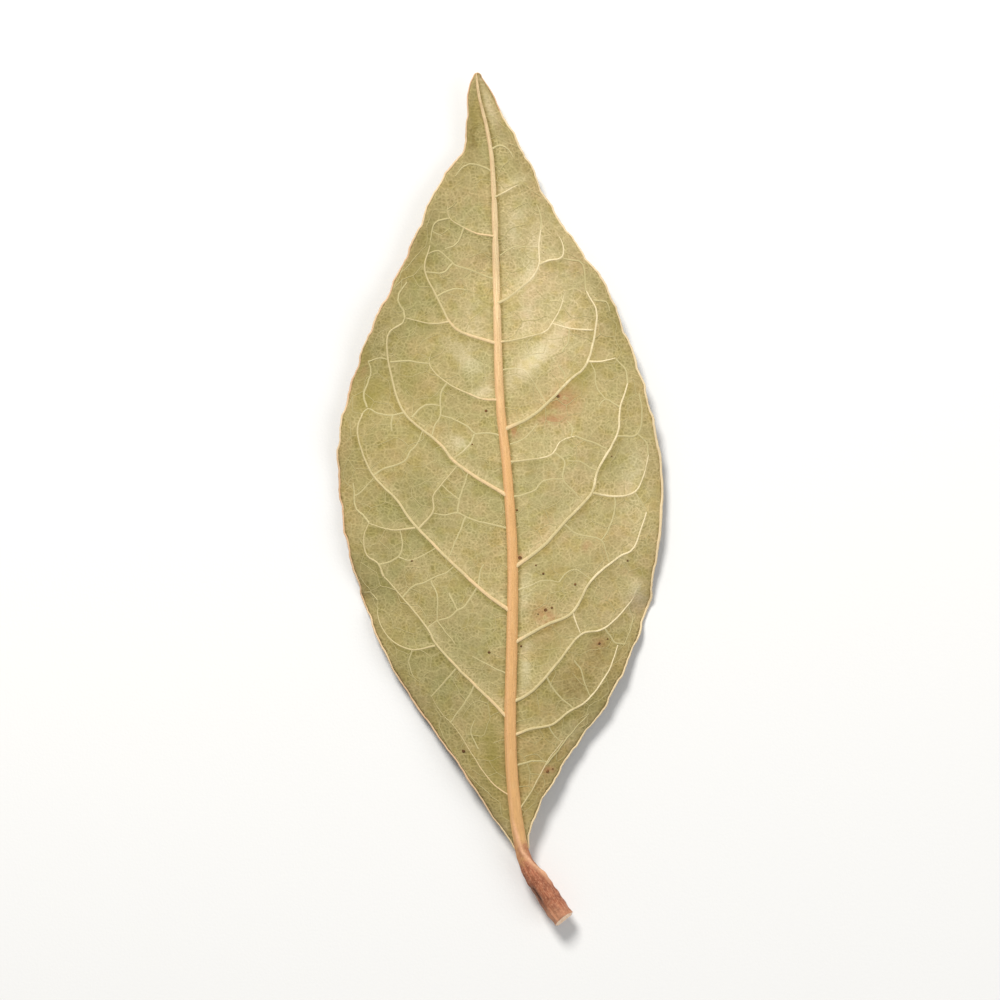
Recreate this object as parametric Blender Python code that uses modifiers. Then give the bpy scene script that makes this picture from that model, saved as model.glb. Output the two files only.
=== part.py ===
"""Dried bay leaf in one piece: blade, midrib, side veins and stalk, lying with its underside up.

The tip points to +Y. The leaf rests on three low spots of its blade: one under the midrib in the
upper half, where the two halves rise as a shallow valley, and one at each margin in the lower half,
where the blade arches over its midrib. Thin cross veins join neighbouring side veins in a net.
Run it with: blender --background --python part.py
"""

import math

import bmesh
import bpy
import numpy as np
from mathutils import Matrix, Vector
from mathutils.geometry import delaunay_2d_cdt

MM = 0.001  # every size below is in millimetres, and meshes are in metres

# Blade
BLADE_THICKNESS = 0.6
FACET = 1.3  # side of the blade's triangles
MARGIN_GAP = 0.8  # clear distance from the margin to the first inner point
BLADE_BASE_Y = -33.0
BLADE_TIP_Y = 40.1

# Margins in plan, base to tip
LEFT_MARGIN = [
    (1.6, -33.0), (-1.0, -29.3), (-3.8, -25.0), (-7.1, -20.5), (-9.8, -16.4), (-12.0, -11.9),
    (-13.6, -7.3), (-14.7, -2.7), (-15.3, 2.8), (-15.1, 6.8), (-14.0, 11.2), (-12.4, 15.7),
    (-10.3, 20.1), (-7.9, 25.2), (-6.0, 29.6), (-3.9, 32.6), (-3.2, 34.0), (-3.1, 36.2), (-2.9, 39.0),
    (-2.5, 40.1),
]
RIGHT_MARGIN = [
    (2.6, -33.0), (3.1, -30.3), (4.3, -27.8), (7.4, -22.8), (9.6, -20.0), (12.3, -14.8),
    (14.2, -9.6), (14.6, -6.6), (15.1, -3.7), (15.4, 2.0), (14.6, 7.1), (13.0, 12.9), (11.2, 17.5),
    (10.0, 20.4), (6.9, 24.8), (4.3, 28.8), (3.0, 31.6), (0.5, 36.1), (-0.9, 38.9), (-1.7, 40.1),
]
MARGIN_RIPPLE = 0.09  # in-plane crinkle of the margin
MARGIN_RIPPLE_LENGTH = 3.4

# Midrib in plan, from the blade's base to its tip, and the levels along it (y, level)
MIDRIB = [
    (2.1, -33.0), (1.65, -30.5), (1.15, -25.5), (1.0, -20.0), (1.15, -13.0), (1.2, -5.0), (0.7, 3.0),
    (0.0, 10.0), (-0.3, 20.0), (-0.5, 28.0), (-0.8, 33.0), (-1.2, 35.3), (-2.0, 38.6), (-2.2, 40.4),
]
MIDRIB_LEVEL = [
    (-36.0, 1.9), (-33.0, 2.2), (-28.0, 2.7), (-20.0, 3.3), (-10.0, 3.5), (0.0, 2.9), (10.0, 1.6),
    (16.0, 0.95), (20.5, 0.7), (25.0, 0.8), (30.0, 1.15), (36.0, 1.9), (41.0, 2.8),
]
# How far each margin stands over the midrib, which it hangs below where negative (y, rise)
LEFT_RISE = [
    (-34.0, -0.2), (-28.0, -0.7), (-22.0, -1.6), (-16.0, -2.25), (-10.0, -2.45), (-4.0, -2.1),
    (2.0, -1.3), (8.0, -0.2), (14.0, 1.0), (20.0, 1.6), (26.0, 1.4), (32.0, 0.7), (41.0, 0.1),
]
RIGHT_RISE = [
    (-34.0, -0.2), (-28.0, -0.6), (-22.0, -1.4), (-16.0, -2.2), (-10.5, -2.5), (-5.0, -2.15),
    (2.0, -1.0), (8.0, 0.1), (14.0, 1.2), (20.0, 1.7), (26.0, 1.3), (32.0, 0.6), (41.0, 0.1),
]
RISE_POWER = 2.0  # how late the halves bend away from the midrib
# Slow wave along each margin: height, length along the leaf, and phase, lowest at the rests
LEFT_WAVE = (0.28, 10.5, 4.1)
RIGHT_WAVE = (0.26, 12.6, 3.7)
# Low spots that the leaf lies on: x, y, how far the blade dips there, and the dip's radius
MIDRIB_REST = (-0.3, 21.6, 0.7, 2.1)
MARGIN_RESTS = [(-12.9, -9.6, 0.6, 1.4), (13.75, -10.4, 0.6, 1.4)]
REST_SIDE = 2.0  # side of the flat triangle under the midrib, which has a corner towards the stalk
REST_CLEAR = 1.9  # how near the middle of that triangle the blade has no other point

# Puckers between the side veins: centre x and y, height, half-length, half-width, heading in degrees
PUCKERS = [
    (4.2, 13.6, 0.30, 4.0, 1.6, 48.0), (3.0, 20.6, 0.24, 3.0, 1.3, 62.0),
    (-2.6, 11.0, 0.20, 3.2, 1.7, 125.0), (-3.4, 21.0, 0.15, 3.0, 1.6, 120.0),
    (-8.6, 12.6, 0.20, 3.4, 1.9, 115.0), (-6.4, 1.8, 0.18, 4.6, 1.8, 132.0),
    (-4.8, -10.2, 0.20, 4.6, 1.9, 133.0), (6.0, 2.8, 0.22, 4.4, 1.9, 50.0),
    (8.4, -5.2, 0.20, 3.6, 1.6, 45.0), (5.2, -15.6, 0.18, 3.4, 1.3, 42.0),
    (12.8, -8.6, 0.25, 1.7, 1.1, 70.0),
]

REST_LEVEL = 0.5 * BLADE_THICKNESS  # level of the blade's middle layer where it lies on the surface

# Midrib and stalk as one tapered rod: (y, its middle over the blade's middle layer) and (y, radius)
MIDRIB_OVER_BLADE = [(-34.0, 0.0), (-31.0, 0.12), (-27.0, 0.34), (-20.0, 0.36), (41.0, 0.36)]
MIDRIB_RADIUS = [
    (-41.0, 1.07), (-39.5, 1.03), (-37.6, 0.98), (-36.0, 0.87), (-34.5, 0.7), (-33.2, 0.63),
    (-30.0, 0.6), (-26.0, 0.57), (-13.0, 0.53), (0.0, 0.48), (13.0, 0.42), (26.0, 0.34),
    (33.0, 0.27), (38.0, 0.2), (40.4, 0.15),
]
MIDRIB_STEP = 2.0
STALK = [  # its middle, from the cut end: x, y, level
    (7.0, -40.7, 2.1), (6.1, -39.6, 1.95), (4.9, -38.0, 1.9), (3.75, -36.1, 1.95), (2.75, -34.5, 2.1),
]
STALK_CUT_AT = (6.1, -39.6)
STALK_CUT_LEAN = 14.0  # degrees that the cut face leans back from square, to face upwards
CUTTER_SIZE = 6.0

# Side veins: radius where each leaves its parent vein, then its plan course outwards
VEIN_OVER_BLADE = BLADE_THICKNESS / 2 + 0.03  # middle of a vein over the blade's middle layer
VEIN_END_RADIUS = 0.55  # share of the first radius left at the far end
VEIN_END_SINK = 0.12  # how far a vein's far end dips into the blade
VEIN_STEP = 1.7
VEINS = [
    (0.13, [(-0.5, 28.9), (0.5, 29.4), (2.2, 30.3)]),
    (0.20, [(-0.3, 18.8), (1.0, 19.5), (3.0, 21.2), (3.7, 22.5), (3.7, 24.2), (3.9, 25.8)]),
    (0.14, [(3.7, 22.5), (4.6, 22.9), (5.9, 23.1), (6.0, 24.4), (5.3, 25.7)]),
    (0.14, [(-0.2, 15.1), (1.6, 15.4), (4.2, 16.1), (5.0, 17.0), (5.9, 18.7), (6.2, 20.4)]),
    (0.25, [(0.4, 6.8), (2.6, 7.8), (4.3, 9.1), (6.6, 11.5), (8.3, 13.2), (9.2, 17.6), (8.2, 19.9)]),
    (0.14, [(8.3, 13.3), (9.6, 13.3), (11.0, 13.6)]),
    (0.13, [(8.9, 16.3), (6.8, 16.4), (5.0, 16.9)]),
    (0.15, [(0.6, 3.7), (3.3, 4.0), (5.0, 4.5), (5.7, 5.7), (7.2, 6.2)]),
    (0.26, [(1.2, -6.4), (4.2, -4.1), (6.1, -2.0), (8.6, 0.7), (9.3, 3.0), (11.1, 6.3), (11.4, 8.8),
            (12.1, 11.2)]),
    (0.16, [(8.8, 0.8), (10.9, 0.5), (12.8, 0.9), (13.7, 2.7), (14.1, 4.4)]),
    (0.24, [(1.2, -13.4), (4.3, -11.7), (6.9, -10.4), (8.6, -7.5), (11.2, -5.3), (12.7, -4.3), (13.9, -1.0)]),
    (0.14, [(6.9, -10.4), (7.2, -11.4), (7.6, -12.5)]),
    (0.22, [(1.0, -19.0), (3.0, -17.9), (5.3, -15.4), (7.6, -12.6), (9.9, -12.0), (12.2, -9.8),
            (13.0, -8.3)]),
    (0.20, [(1.0, -22.1), (3.2, -21.4), (5.0, -21.0), (6.5, -19.9), (8.3, -18.8), (10.3, -16.1),
            (11.2, -13.6)]),
    (0.15, [(1.7, -29.4), (3.2, -27.0), (4.6, -24.4), (6.0, -22.6)]),
    (0.14, [(-0.4, 25.2), (-2.2, 25.5), (-3.3, 26.0), (-4.8, 26.9), (-4.9, 28.8)]),
    (0.22, [(-0.3, 15.0), (-3.6, 16.1), (-4.7, 17.0), (-5.9, 19.3), (-7.1, 22.0), (-6.6, 24.3)]),
    (0.13, [(-4.8, 17.1), (-6.5, 16.9), (-9.0, 17.4)]),
    (0.15, [(-0.2, 9.6), (-1.9, 9.8), (-4.9, 11.2), (-6.7, 13.0), (-6.3, 14.6)]),
    (0.25, [(0.6, 0.6), (-4.0, 3.5), (-5.5, 5.3), (-9.0, 8.4), (-10.4, 12.4), (-10.6, 15.7), (-9.3, 16.8)]),
    (0.26, [(1.0, -10.3), (-2.0, -8.1), (-7.7, -2.6), (-9.7, 0.1), (-12.2, 2.8), (-13.5, 6.5), (-13.0, 8.3)]),
    (0.15, [(-7.7, -2.6), (-6.3, -1.0), (-6.3, 0.5), (-5.5, 1.6), (-4.1, 3.3)]),
    (0.14, [(-8.0, -2.5), (-10.2, -2.7), (-12.4, -2.1)]),
    (0.22, [(0.6, -20.2), (-1.0, -18.6), (-3.9, -15.8), (-6.1, -13.3), (-6.8, -12.0), (-9.2, -9.1),
            (-11.0, -7.1)]),
    (0.15, [(-11.0, -7.1), (-11.5, -5.9), (-12.6, -5.1), (-12.9, -3.4), (-12.4, -2.1)]),
    (0.13, [(-6.1, -13.6), (-8.3, -14.0), (-10.3, -13.1), (-11.5, -11.2), (-11.6, -9.3)]),
    (0.16, [(1.1, -27.6), (-0.8, -26.6), (-2.6, -24.2), (-4.5, -21.2), (-6.8, -18.2)]),
]

# Cross veins of the net: the plan course of each, as thin rods half sunk in the blade
NET_VEINS = [
    [(-0.5, 21.2), (-1.7, 21.6), (-3.0, 22.1), (-4.2, 22.4), (-4.9, 23.1), (-5.8, 23.8), (-6.9, 23.4)],
    [(-4.5, 22.6), (-5.5, 21.7), (-7.0, 21.8)],
    [(-6.0, 19.4), (-5.2, 19.9), (-4.3, 20.2), (-3.2, 20.1)],
    [(-3.4, 26.0), (-3.8, 25.0), (-4.3, 24.3), (-5.2, 24.0)],
    [(-4.8, 26.9), (-5.8, 26.6), (-6.3, 26.1), (-6.6, 24.8)],
    [(-9.0, 17.4), (-9.2, 18.2), (-9.7, 19.0), (-9.4, 20.0), (-8.8, 20.8)],
    [(-5.0, 11.2), (-5.6, 10.2), (-5.6, 8.2), (-6.2, 7.2), (-6.4, 6.3)],
    [(0.2, 6.2), (-1.2, 6.5), (-2.3, 6.4), (-2.9, 7.0), (-3.9, 7.6), (-5.6, 8.2)],
    [(-2.4, 6.4), (-2.8, 5.4), (-3.7, 4.5), (-4.4, 4.1)],
    [(-11.9, 2.5), (-10.9, 3.1), (-9.0, 3.8), (-8.5, 4.7), (-7.9, 5.3), (-7.2, 6.8)],
    [(-9.0, 8.4), (-10.1, 8.2), (-11.5, 8.3), (-12.5, 8.8), (-13.1, 8.2)],
    [(-10.1, 8.2), (-10.3, 7.4), (-10.2, 6.6)],
    [(-10.4, 13.2), (-8.8, 13.3), (-6.7, 13.1)],
    [(-8.3, 8.0), (-7.5, 8.9), (-6.6, 9.2), (-5.6, 9.1)],
    [(-12.6, 8.9), (-12.9, 10.2), (-12.2, 12.2), (-12.5, 13.2)],
    [(0.9, -2.6), (-1.8, -1.9), (-2.9, -1.6), (-4.0, -1.1), (-5.2, -1.3), (-6.3, -1.1)],
    [(-4.0, -1.1), (-3.8, 0.2), (-3.0, 2.7)],
    [(-3.2, -1.5), (-3.8, -2.9), (-4.8, -5.3)],
    [(-9.2, -9.1), (-8.2, -8.0), (-7.2, -7.7), (-6.2, -7.1), (-5.0, -6.7), (-4.3, -6.1)],
    [(-6.5, -7.5), (-5.9, -8.8), (-5.9, -11.3)],
    [(-2.1, -8.1), (-3.2, -9.8), (-4.0, -10.2), (-4.7, -10.9), (-5.9, -11.3), (-6.8, -12.0)],
    [(-4.8, -8.6), (-4.0, -10.2)],
    [(-11.5, -6.0), (-10.6, -5.8), (-9.6, -5.2), (-9.2, -4.2), (-9.4, -2.7)],
    [(-12.4, -2.1), (-12.9, -1.3), (-13.6, -0.8), (-13.8, 0.6), (-13.9, 1.8)],
    [(-2.0, -8.1), (-1.9, -6.8), (-1.5, -5.9)],
    [(-2.4, -17.4), (-3.4, -19.2), (-4.6, -20.9)],
    [(-4.1, -15.8), (-5.2, -17.0), (-6.5, -18.5)],
    [(8.2, 19.9), (8.0, 22.0), (7.6, 22.8), (6.7, 22.9), (5.9, 23.1)],
    [(5.9, 14.2), (6.5, 15.2), (6.6, 16.4)],
    [(8.9, 19.1), (10.1, 18.9), (10.4, 18.0)],
    [(3.9, 25.8), (3.9, 27.0), (3.5, 28.2)],
    [(12.1, 11.2), (12.0, 12.3), (11.5, 13.0), (11.0, 13.6)],
    [(11.4, 8.9), (10.7, 9.3), (10.0, 9.7), (9.4, 9.0)],
    [(11.1, 6.2), (12.1, 6.2), (13.1, 6.4), (13.5, 8.2), (13.2, 10.2)],
    [(14.1, 4.4), (13.9, 5.6), (13.1, 6.4)],
    [(1.1, 0.4), (2.5, 0.7), (3.4, 1.1), (4.0, 1.9), (5.9, 2.1)],
    [(5.2, 4.6), (6.2, 3.8), (5.9, 2.3), (6.3, 1.6), (7.0, 0.9), (7.7, 0.2)],
    [(7.2, 6.2), (8.4, 5.7), (10.2, 5.0)],
    [(9.9, -12.0), (10.5, -12.8), (10.9, -13.4), (11.8, -13.6)],
    [(6.0, -2.1), (7.0, -2.9), (7.9, -3.2), (9.6, -3.7), (10.4, -5.9)],
    [(10.9, 0.5), (10.9, -0.8), (10.3, -2.6), (9.6, -3.7)],
    [(12.8, 0.9), (13.2, 0.2), (13.9, -0.8)],
    [(4.4, -16.5), (5.2, -18.0), (6.2, -18.9), (7.0, -19.6)],
    [(4.3, -24.9), (5.6, -23.4), (7.0, -21.6), (8.4, -20.1)],
    [(1.2, -25.0), (3.2, -24.5), (4.5, -24.6)],
    [(-0.8, 33.4), (0.1, 33.8), (0.9, 33.3), (1.3, 32.6)],
    [(-0.7, 31.3), (-1.6, 31.8), (-2.8, 32.1)],
]
NET_VEIN_RADIUS = 0.12
NET_VEIN_SIDES = 4

LEAF_COLOUR = (0.42, 0.36, 0.17, 1.0)
LEAF_ROUGHNESS = 0.7
SMOOTH_ANGLE = math.radians(40.0)
WELD_DISTANCE = 0.001  # points this close are one point
GRAPH_STEP = 0.2
MIDRIB_SIDES = 8
VEIN_SIDES = 6


def smooth_course(points, spacing):
    """Points about every spacing along a Catmull-Rom curve through hand-set points."""
    fixed = np.array(points, dtype=float)
    ends = 2 * fixed[0] - fixed[1], 2 * fixed[-1] - fixed[-2]
    padded = np.vstack([ends[0], fixed, ends[1]])
    course = [fixed[0]]
    for before, start, end, after in zip(padded, padded[1:], padded[2:], padded[3:]):
        steps = max(1, round(float(np.linalg.norm(end - start)) / spacing))
        for t in np.arange(1, steps + 1) / steps:
            course.append(
                start
                + 0.5 * t * (end - before)
                + 0.5 * t**2 * (2 * before - 5 * start + 4 * end - after)
                + 0.5 * t**3 * (3 * start - before - 3 * end + after)
            )
    return np.array(course)


def graph(points):
    """A function of y that runs smoothly through (y, value) points."""
    ys, values = smooth_course(points, GRAPH_STEP).T
    return lambda y: float(np.interp(y, ys, values))


def plan_line(points):
    """A function that gives the x of a smooth plan course of (x, y) points at any y."""
    return graph([(y, x) for x, y in points])


left_x = plan_line(LEFT_MARGIN)
right_x = plan_line(RIGHT_MARGIN)
midrib_x = plan_line(MIDRIB)
midrib_level = graph(MIDRIB_LEVEL)
left_rise = graph(LEFT_RISE)
right_rise = graph(RIGHT_RISE)
midrib_over_blade = graph(MIDRIB_OVER_BLADE)
midrib_radius = graph(MIDRIB_RADIUS)


def pucker_height(x, y):
    """Soft oval bulges of the blade between its side veins."""
    height = 0.0
    for centre_x, centre_y, top, half_length, half_width, heading in PUCKERS:
        turn = math.radians(heading)
        along = (x - centre_x) * math.cos(turn) + (y - centre_y) * math.sin(turn)
        aside = (y - centre_y) * math.cos(turn) - (x - centre_x) * math.sin(turn)
        height += top * math.exp(-((along / half_length) ** 2) - (aside / half_width) ** 2)
    return height


def rest_dip(x, y):
    """How far the blade dips towards the surface at its low spots."""
    return sum(
        depth * math.exp(-((x - rest_x) ** 2 + (y - rest_y) ** 2) / radius**2)
        for rest_x, rest_y, depth, radius in [MIDRIB_REST, *MARGIN_RESTS]
    )


def blade_level(x, y):
    """Level of the blade's middle layer over the surface it lies on."""
    offset = x - midrib_x(y)
    margin, rise, (wave_height, wave_length, phase) = (
        (left_x, left_rise, LEFT_WAVE) if offset < 0 else (right_x, right_rise, RIGHT_WAVE)
    )
    half_width = abs(margin(y) - midrib_x(y))
    across = min(1.0, abs(offset) / half_width)
    bend = rise(y) * across**RISE_POWER
    wave = wave_height * across**3 * math.sin(2 * math.pi * y / wave_length + phase)
    level = midrib_level(y) + bend + wave + pucker_height(x, y) - rest_dip(x, y)
    return max(REST_LEVEL, level)


def margin_ring():
    """Evenly spaced points round the blade, anticlockwise from the base, with a fine crinkle."""
    right = smooth_course(RIGHT_MARGIN, FACET)
    left = smooth_course(LEFT_MARGIN, FACET)[::-1]
    ring = np.vstack([right, left])
    tangent = np.roll(ring, -1, axis=0) - np.roll(ring, 1, axis=0)
    outwards = np.column_stack([tangent[:, 1], -tangent[:, 0]])
    outwards /= np.linalg.norm(outwards, axis=1)[:, None]
    crinkle = MARGIN_RIPPLE * np.sin(2 * math.pi * ring[:, 1] / MARGIN_RIPPLE_LENGTH)
    return ring + outwards * crinkle[:, None]


def rest_corners():
    """Corners of the flat triangle under the midrib."""
    reach = REST_SIDE / math.sqrt(3)
    turns = [math.radians(degrees) for degrees in (-90, 30, 150)]
    return [
        (MIDRIB_REST[0] + reach * math.cos(turn), MIDRIB_REST[1] + reach * math.sin(turn))
        for turn in turns
    ]


def inner_points():
    """A triangular grid of points over the inside of the blade, open round the rest's corners."""
    points = rest_corners()
    row_height = FACET * math.sqrt(3) / 2
    rows = int((BLADE_TIP_Y - BLADE_BASE_Y) / row_height)
    for row in range(1, rows + 1):
        y = BLADE_BASE_Y + row * row_height
        first = left_x(y) + MARGIN_GAP
        last = right_x(y) - MARGIN_GAP
        x = FACET * (math.floor(first / FACET) + 0.5 * (row % 2))
        while x < last:
            if x > first and math.dist((x, y), MIDRIB_REST[:2]) > REST_CLEAR:
                points.append((x, y))
            x += FACET
    return points


def blade_sheet(collection):
    """The blade's middle layer, triangulated in plan, lifted to its levels and given a thickness."""
    ring = margin_ring()
    plan = [Vector(point) for point in ring] + [Vector(point) for point in inner_points()]
    rim = [(i, (i + 1) % len(ring)) for i in range(len(ring))]
    inside_only = 1
    points, _, faces, *_ = delaunay_2d_cdt(plan, rim, [], inside_only, WELD_DISTANCE)
    mesh = bpy.data.meshes.new("blade_sheet")
    mesh.from_pydata([Vector((p.x, p.y, blade_level(p.x, p.y))) * MM for p in points], [], faces)
    sheet = bpy.data.objects.new("bay_leaf", mesh)
    collection.objects.link(sheet)
    thicken = sheet.modifiers.new("thickness", "SOLIDIFY")
    thicken.thickness = BLADE_THICKNESS * MM
    thicken.offset = 0.0
    thicken.use_even_offset = True
    return sheet


def rod(name, points, radii, sides, collection):
    """A tapered rod along points, made as a bevelled curve and turned into a closed mesh.

    A bevel of resolution n gives a round section of 2 n + 4 sides.
    """
    curve = bpy.data.curves.new(name, "CURVE")
    curve.dimensions = "3D"
    curve.bevel_depth = MM
    curve.bevel_resolution = sides // 2 - 2
    curve.use_fill_caps = True
    spline = curve.splines.new("POLY")
    spline.points.add(len(points) - 1)
    for control, point, radius in zip(spline.points, points, radii):
        control.co = (*(Vector(point) * MM), 1.0)
        control.radius = radius
    guide = bpy.data.objects.new(name + "_course", curve)
    collection.objects.link(guide)
    bpy.context.view_layer.update()
    evaluated = guide.evaluated_get(bpy.context.evaluated_depsgraph_get())
    mesh = bpy.data.meshes.new_from_object(evaluated)
    weld_caps(mesh)
    piece = bpy.data.objects.new(name, mesh)
    collection.objects.link(piece)
    bpy.data.objects.remove(guide)
    return piece


def weld_caps(mesh):
    """Joins a bevelled curve's loose end caps to its wall."""
    body = bmesh.new()
    body.from_mesh(mesh)
    bmesh.ops.remove_doubles(body, verts=body.verts, dist=WELD_DISTANCE * MM)
    bmesh.ops.recalc_face_normals(body, faces=body.faces)
    body.to_mesh(mesh)
    body.free()


def midrib_and_stalk(collection):
    """The midrib from the leaf's tip down to the stalk's end, as one rod."""
    on_blade = [
        (x, y, blade_level(x, y) + midrib_over_blade(y)) for x, y in smooth_course(MIDRIB, MIDRIB_STEP)
    ]
    points = smooth_course(STALK + on_blade, MIDRIB_STEP)
    radii = [midrib_radius(point[1]) for point in points]
    return rod("midrib", points, radii, MIDRIB_SIDES, collection)


def side_vein(number, first_radius, course, collection):
    """One side vein, tapering and sinking into the blade towards its far end."""
    plan = smooth_course(course, VEIN_STEP)
    points, radii = [], []
    for i, (x, y) in enumerate(plan):
        run = i / (len(plan) - 1)
        level = blade_level(x, y) + VEIN_OVER_BLADE - VEIN_END_SINK * run**4
        points.append((x, y, level))
        radii.append(first_radius * (1.0 - (1.0 - VEIN_END_RADIUS) * run))
    return rod(f"vein_{number:02d}", points, radii, VEIN_SIDES, collection)


def cross_vein(number, course, collection):
    """One thin vein of the net, half sunk in the blade."""
    points = [
        (x, y, blade_level(x, y) + 0.5 * BLADE_THICKNESS) for x, y in smooth_course(course, VEIN_STEP)
    ]
    radii = [NET_VEIN_RADIUS] * len(points)
    return rod(f"cross_vein_{number:02d}", points, radii, NET_VEIN_SIDES, collection)


def stalk_cutter(collection):
    """A box whose near face makes the stalk's slanting cut."""
    bpy.ops.mesh.primitive_cube_add(size=CUTTER_SIZE * MM)
    cutter = bpy.context.object
    cutter.name = "stalk_cutter"
    end, inner = Vector(STALK[0]), Vector(STALK[1])
    outwards = (end - inner).normalized()
    aside = outwards.cross(Vector((0, 0, 1))).normalized()
    facing = outwards.copy()
    facing.rotate(Matrix.Rotation(math.radians(STALK_CUT_LEAN), 3, aside))
    middle = Vector((*STALK_CUT_AT, STALK[1][2])) + facing * CUTTER_SIZE / 2
    cutter.rotation_euler = facing.to_track_quat("X", "Z").to_euler()
    cutter.location = middle * MM
    cutter.hide_render = True
    cutter.display_type = "WIRE"
    for owner in cutter.users_collection:
        owner.objects.unlink(cutter)
    collection.objects.link(cutter)
    return cutter


def leaf_material():
    """Matt khaki of a dried leaf."""
    material = bpy.data.materials.new("dried_leaf")
    material.use_nodes = True
    shader = material.node_tree.nodes["Principled BSDF"]
    shader.inputs["Base Color"].default_value = LEAF_COLOUR
    shader.inputs["Roughness"].default_value = LEAF_ROUGHNESS
    shader.inputs["Metallic"].default_value = 0.0
    return material


def stand_on_origin(mesh):
    """Moves the mesh so that the origin is under the middle of its box, at its lowest level."""
    places = np.empty(len(mesh.vertices) * 3)
    mesh.vertices.foreach_get("co", places)
    places = places.reshape(-1, 3)
    low, high = places.min(axis=0), places.max(axis=0)
    places -= [(low[0] + high[0]) / 2, (low[1] + high[1]) / 2, low[2]]
    mesh.vertices.foreach_set("co", places.ravel())


def new_collection(name):
    collection = bpy.data.collections.new(name)
    bpy.context.scene.collection.children.link(collection)
    return collection


def main():
    for thing in list(bpy.data.objects):
        bpy.data.objects.remove(thing)
    leaf_parts = new_collection("dried_bay_leaf")
    ribs = new_collection("ribs")
    cutters = new_collection("cutters")

    leaf = blade_sheet(leaf_parts)
    midrib_and_stalk(ribs)
    for number, (first_radius, course) in enumerate(VEINS):
        side_vein(number, first_radius, course, ribs)
    for number, course in enumerate(NET_VEINS):
        cross_vein(number, course, ribs)
    cutter = stalk_cutter(cutters)

    join = leaf.modifiers.new("join_ribs", "BOOLEAN")
    join.operation = "UNION"
    join.operand_type = "COLLECTION"
    join.collection = ribs
    trim = leaf.modifiers.new("cut_stalk", "BOOLEAN")
    trim.operation = "DIFFERENCE"
    trim.object = cutter

    bpy.context.view_layer.update()
    grown = leaf.evaluated_get(bpy.context.evaluated_depsgraph_get())
    mesh = bpy.data.meshes.new_from_object(grown)
    leaf.modifiers.clear()
    leaf.data = mesh
    for rib in list(ribs.objects):
        bpy.data.objects.remove(rib)
    stand_on_origin(mesh)
    mesh.materials.clear()
    mesh.materials.append(leaf_material())
    mesh.shade_smooth()
    mesh.set_sharp_from_angle(angle=SMOOTH_ANGLE)


main()
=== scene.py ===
"""Dried bay leaf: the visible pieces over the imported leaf, and the stage they are seen on.

One leaf lies underside up. Its blade is a closed thin sheet with a finely waved margin. On the blade stand
the midrib, which runs down into the stalk, the looped side veins, the cross veins between them and a fine
net. Sizes in tables are millimetres in the leaf's plan, with the tip towards +Y, and meshes are in metres.
"""

import math

import bmesh
import bpy
import numpy as np
from mathutils import Matrix, Vector
from mathutils.geometry import delaunay_2d_cdt
from mathutils.kdtree import KDTree


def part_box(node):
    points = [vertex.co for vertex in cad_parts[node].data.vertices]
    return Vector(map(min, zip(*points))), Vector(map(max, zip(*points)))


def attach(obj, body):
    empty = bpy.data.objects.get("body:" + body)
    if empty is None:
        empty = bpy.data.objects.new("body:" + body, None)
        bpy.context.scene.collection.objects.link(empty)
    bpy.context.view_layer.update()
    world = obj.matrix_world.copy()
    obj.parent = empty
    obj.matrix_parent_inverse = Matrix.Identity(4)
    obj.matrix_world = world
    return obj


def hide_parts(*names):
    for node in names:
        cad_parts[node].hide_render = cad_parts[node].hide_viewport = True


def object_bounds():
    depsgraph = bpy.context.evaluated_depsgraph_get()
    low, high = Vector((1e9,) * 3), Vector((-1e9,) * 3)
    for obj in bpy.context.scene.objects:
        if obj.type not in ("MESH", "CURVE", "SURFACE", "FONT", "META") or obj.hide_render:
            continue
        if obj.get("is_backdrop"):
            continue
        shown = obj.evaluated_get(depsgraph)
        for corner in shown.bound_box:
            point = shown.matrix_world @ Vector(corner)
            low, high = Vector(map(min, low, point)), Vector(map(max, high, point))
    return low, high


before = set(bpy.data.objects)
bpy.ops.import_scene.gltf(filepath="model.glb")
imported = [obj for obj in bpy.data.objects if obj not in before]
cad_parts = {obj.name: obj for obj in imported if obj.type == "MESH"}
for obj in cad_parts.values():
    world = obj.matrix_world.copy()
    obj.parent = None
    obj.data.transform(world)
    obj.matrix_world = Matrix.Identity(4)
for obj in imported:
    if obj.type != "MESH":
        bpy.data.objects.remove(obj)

bl_info = {
    "name": "Dried Bay Leaf",
    "version": (1, 0, 0),
    "blender": (4, 5, 0),
    "location": "View3D > Sidebar > Bay Leaf",
    "description": "Builds a dried bay leaf lying underside up, with its veins, stalk and stage",
    "category": "Add Mesh",
}

MM = 0.001
NODE = "bay_leaf"
KEY_DIRECTION = (-0.25, 0.62, 0.74)
FILL_DIRECTION = (0.67, -0.22, 0.70)
LIGHT_DISTANCE = 0.45
BODY = "root"

# Plan of the blade, base to tip
LEFT_MARGIN = [
    (1.6, -33.0), (-1.0, -29.3), (-3.8, -25.0), (-7.1, -20.5), (-9.8, -16.4), (-12.0, -11.9),
    (-13.6, -7.3), (-14.7, -2.7), (-15.3, 2.8), (-15.1, 6.8), (-14.0, 11.2), (-12.4, 15.7),
    (-10.3, 20.1), (-7.9, 25.2), (-6.0, 29.6), (-3.9, 32.6), (-3.2, 34.0), (-3.1, 36.2), (-2.9, 39.0),
    (-2.5, 40.1),
]
RIGHT_MARGIN = [
    (2.6, -33.0), (3.1, -30.3), (4.3, -27.8), (7.4, -22.8), (9.6, -20.0), (12.3, -14.8),
    (14.2, -9.6), (14.6, -6.6), (15.1, -3.7), (15.4, 2.0), (14.6, 7.1), (13.0, 12.9), (11.2, 17.5),
    (10.0, 20.4), (6.9, 24.8), (4.3, 28.8), (3.0, 31.6), (0.5, 36.1), (-0.9, 38.9), (-1.7, 40.1),
]
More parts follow.
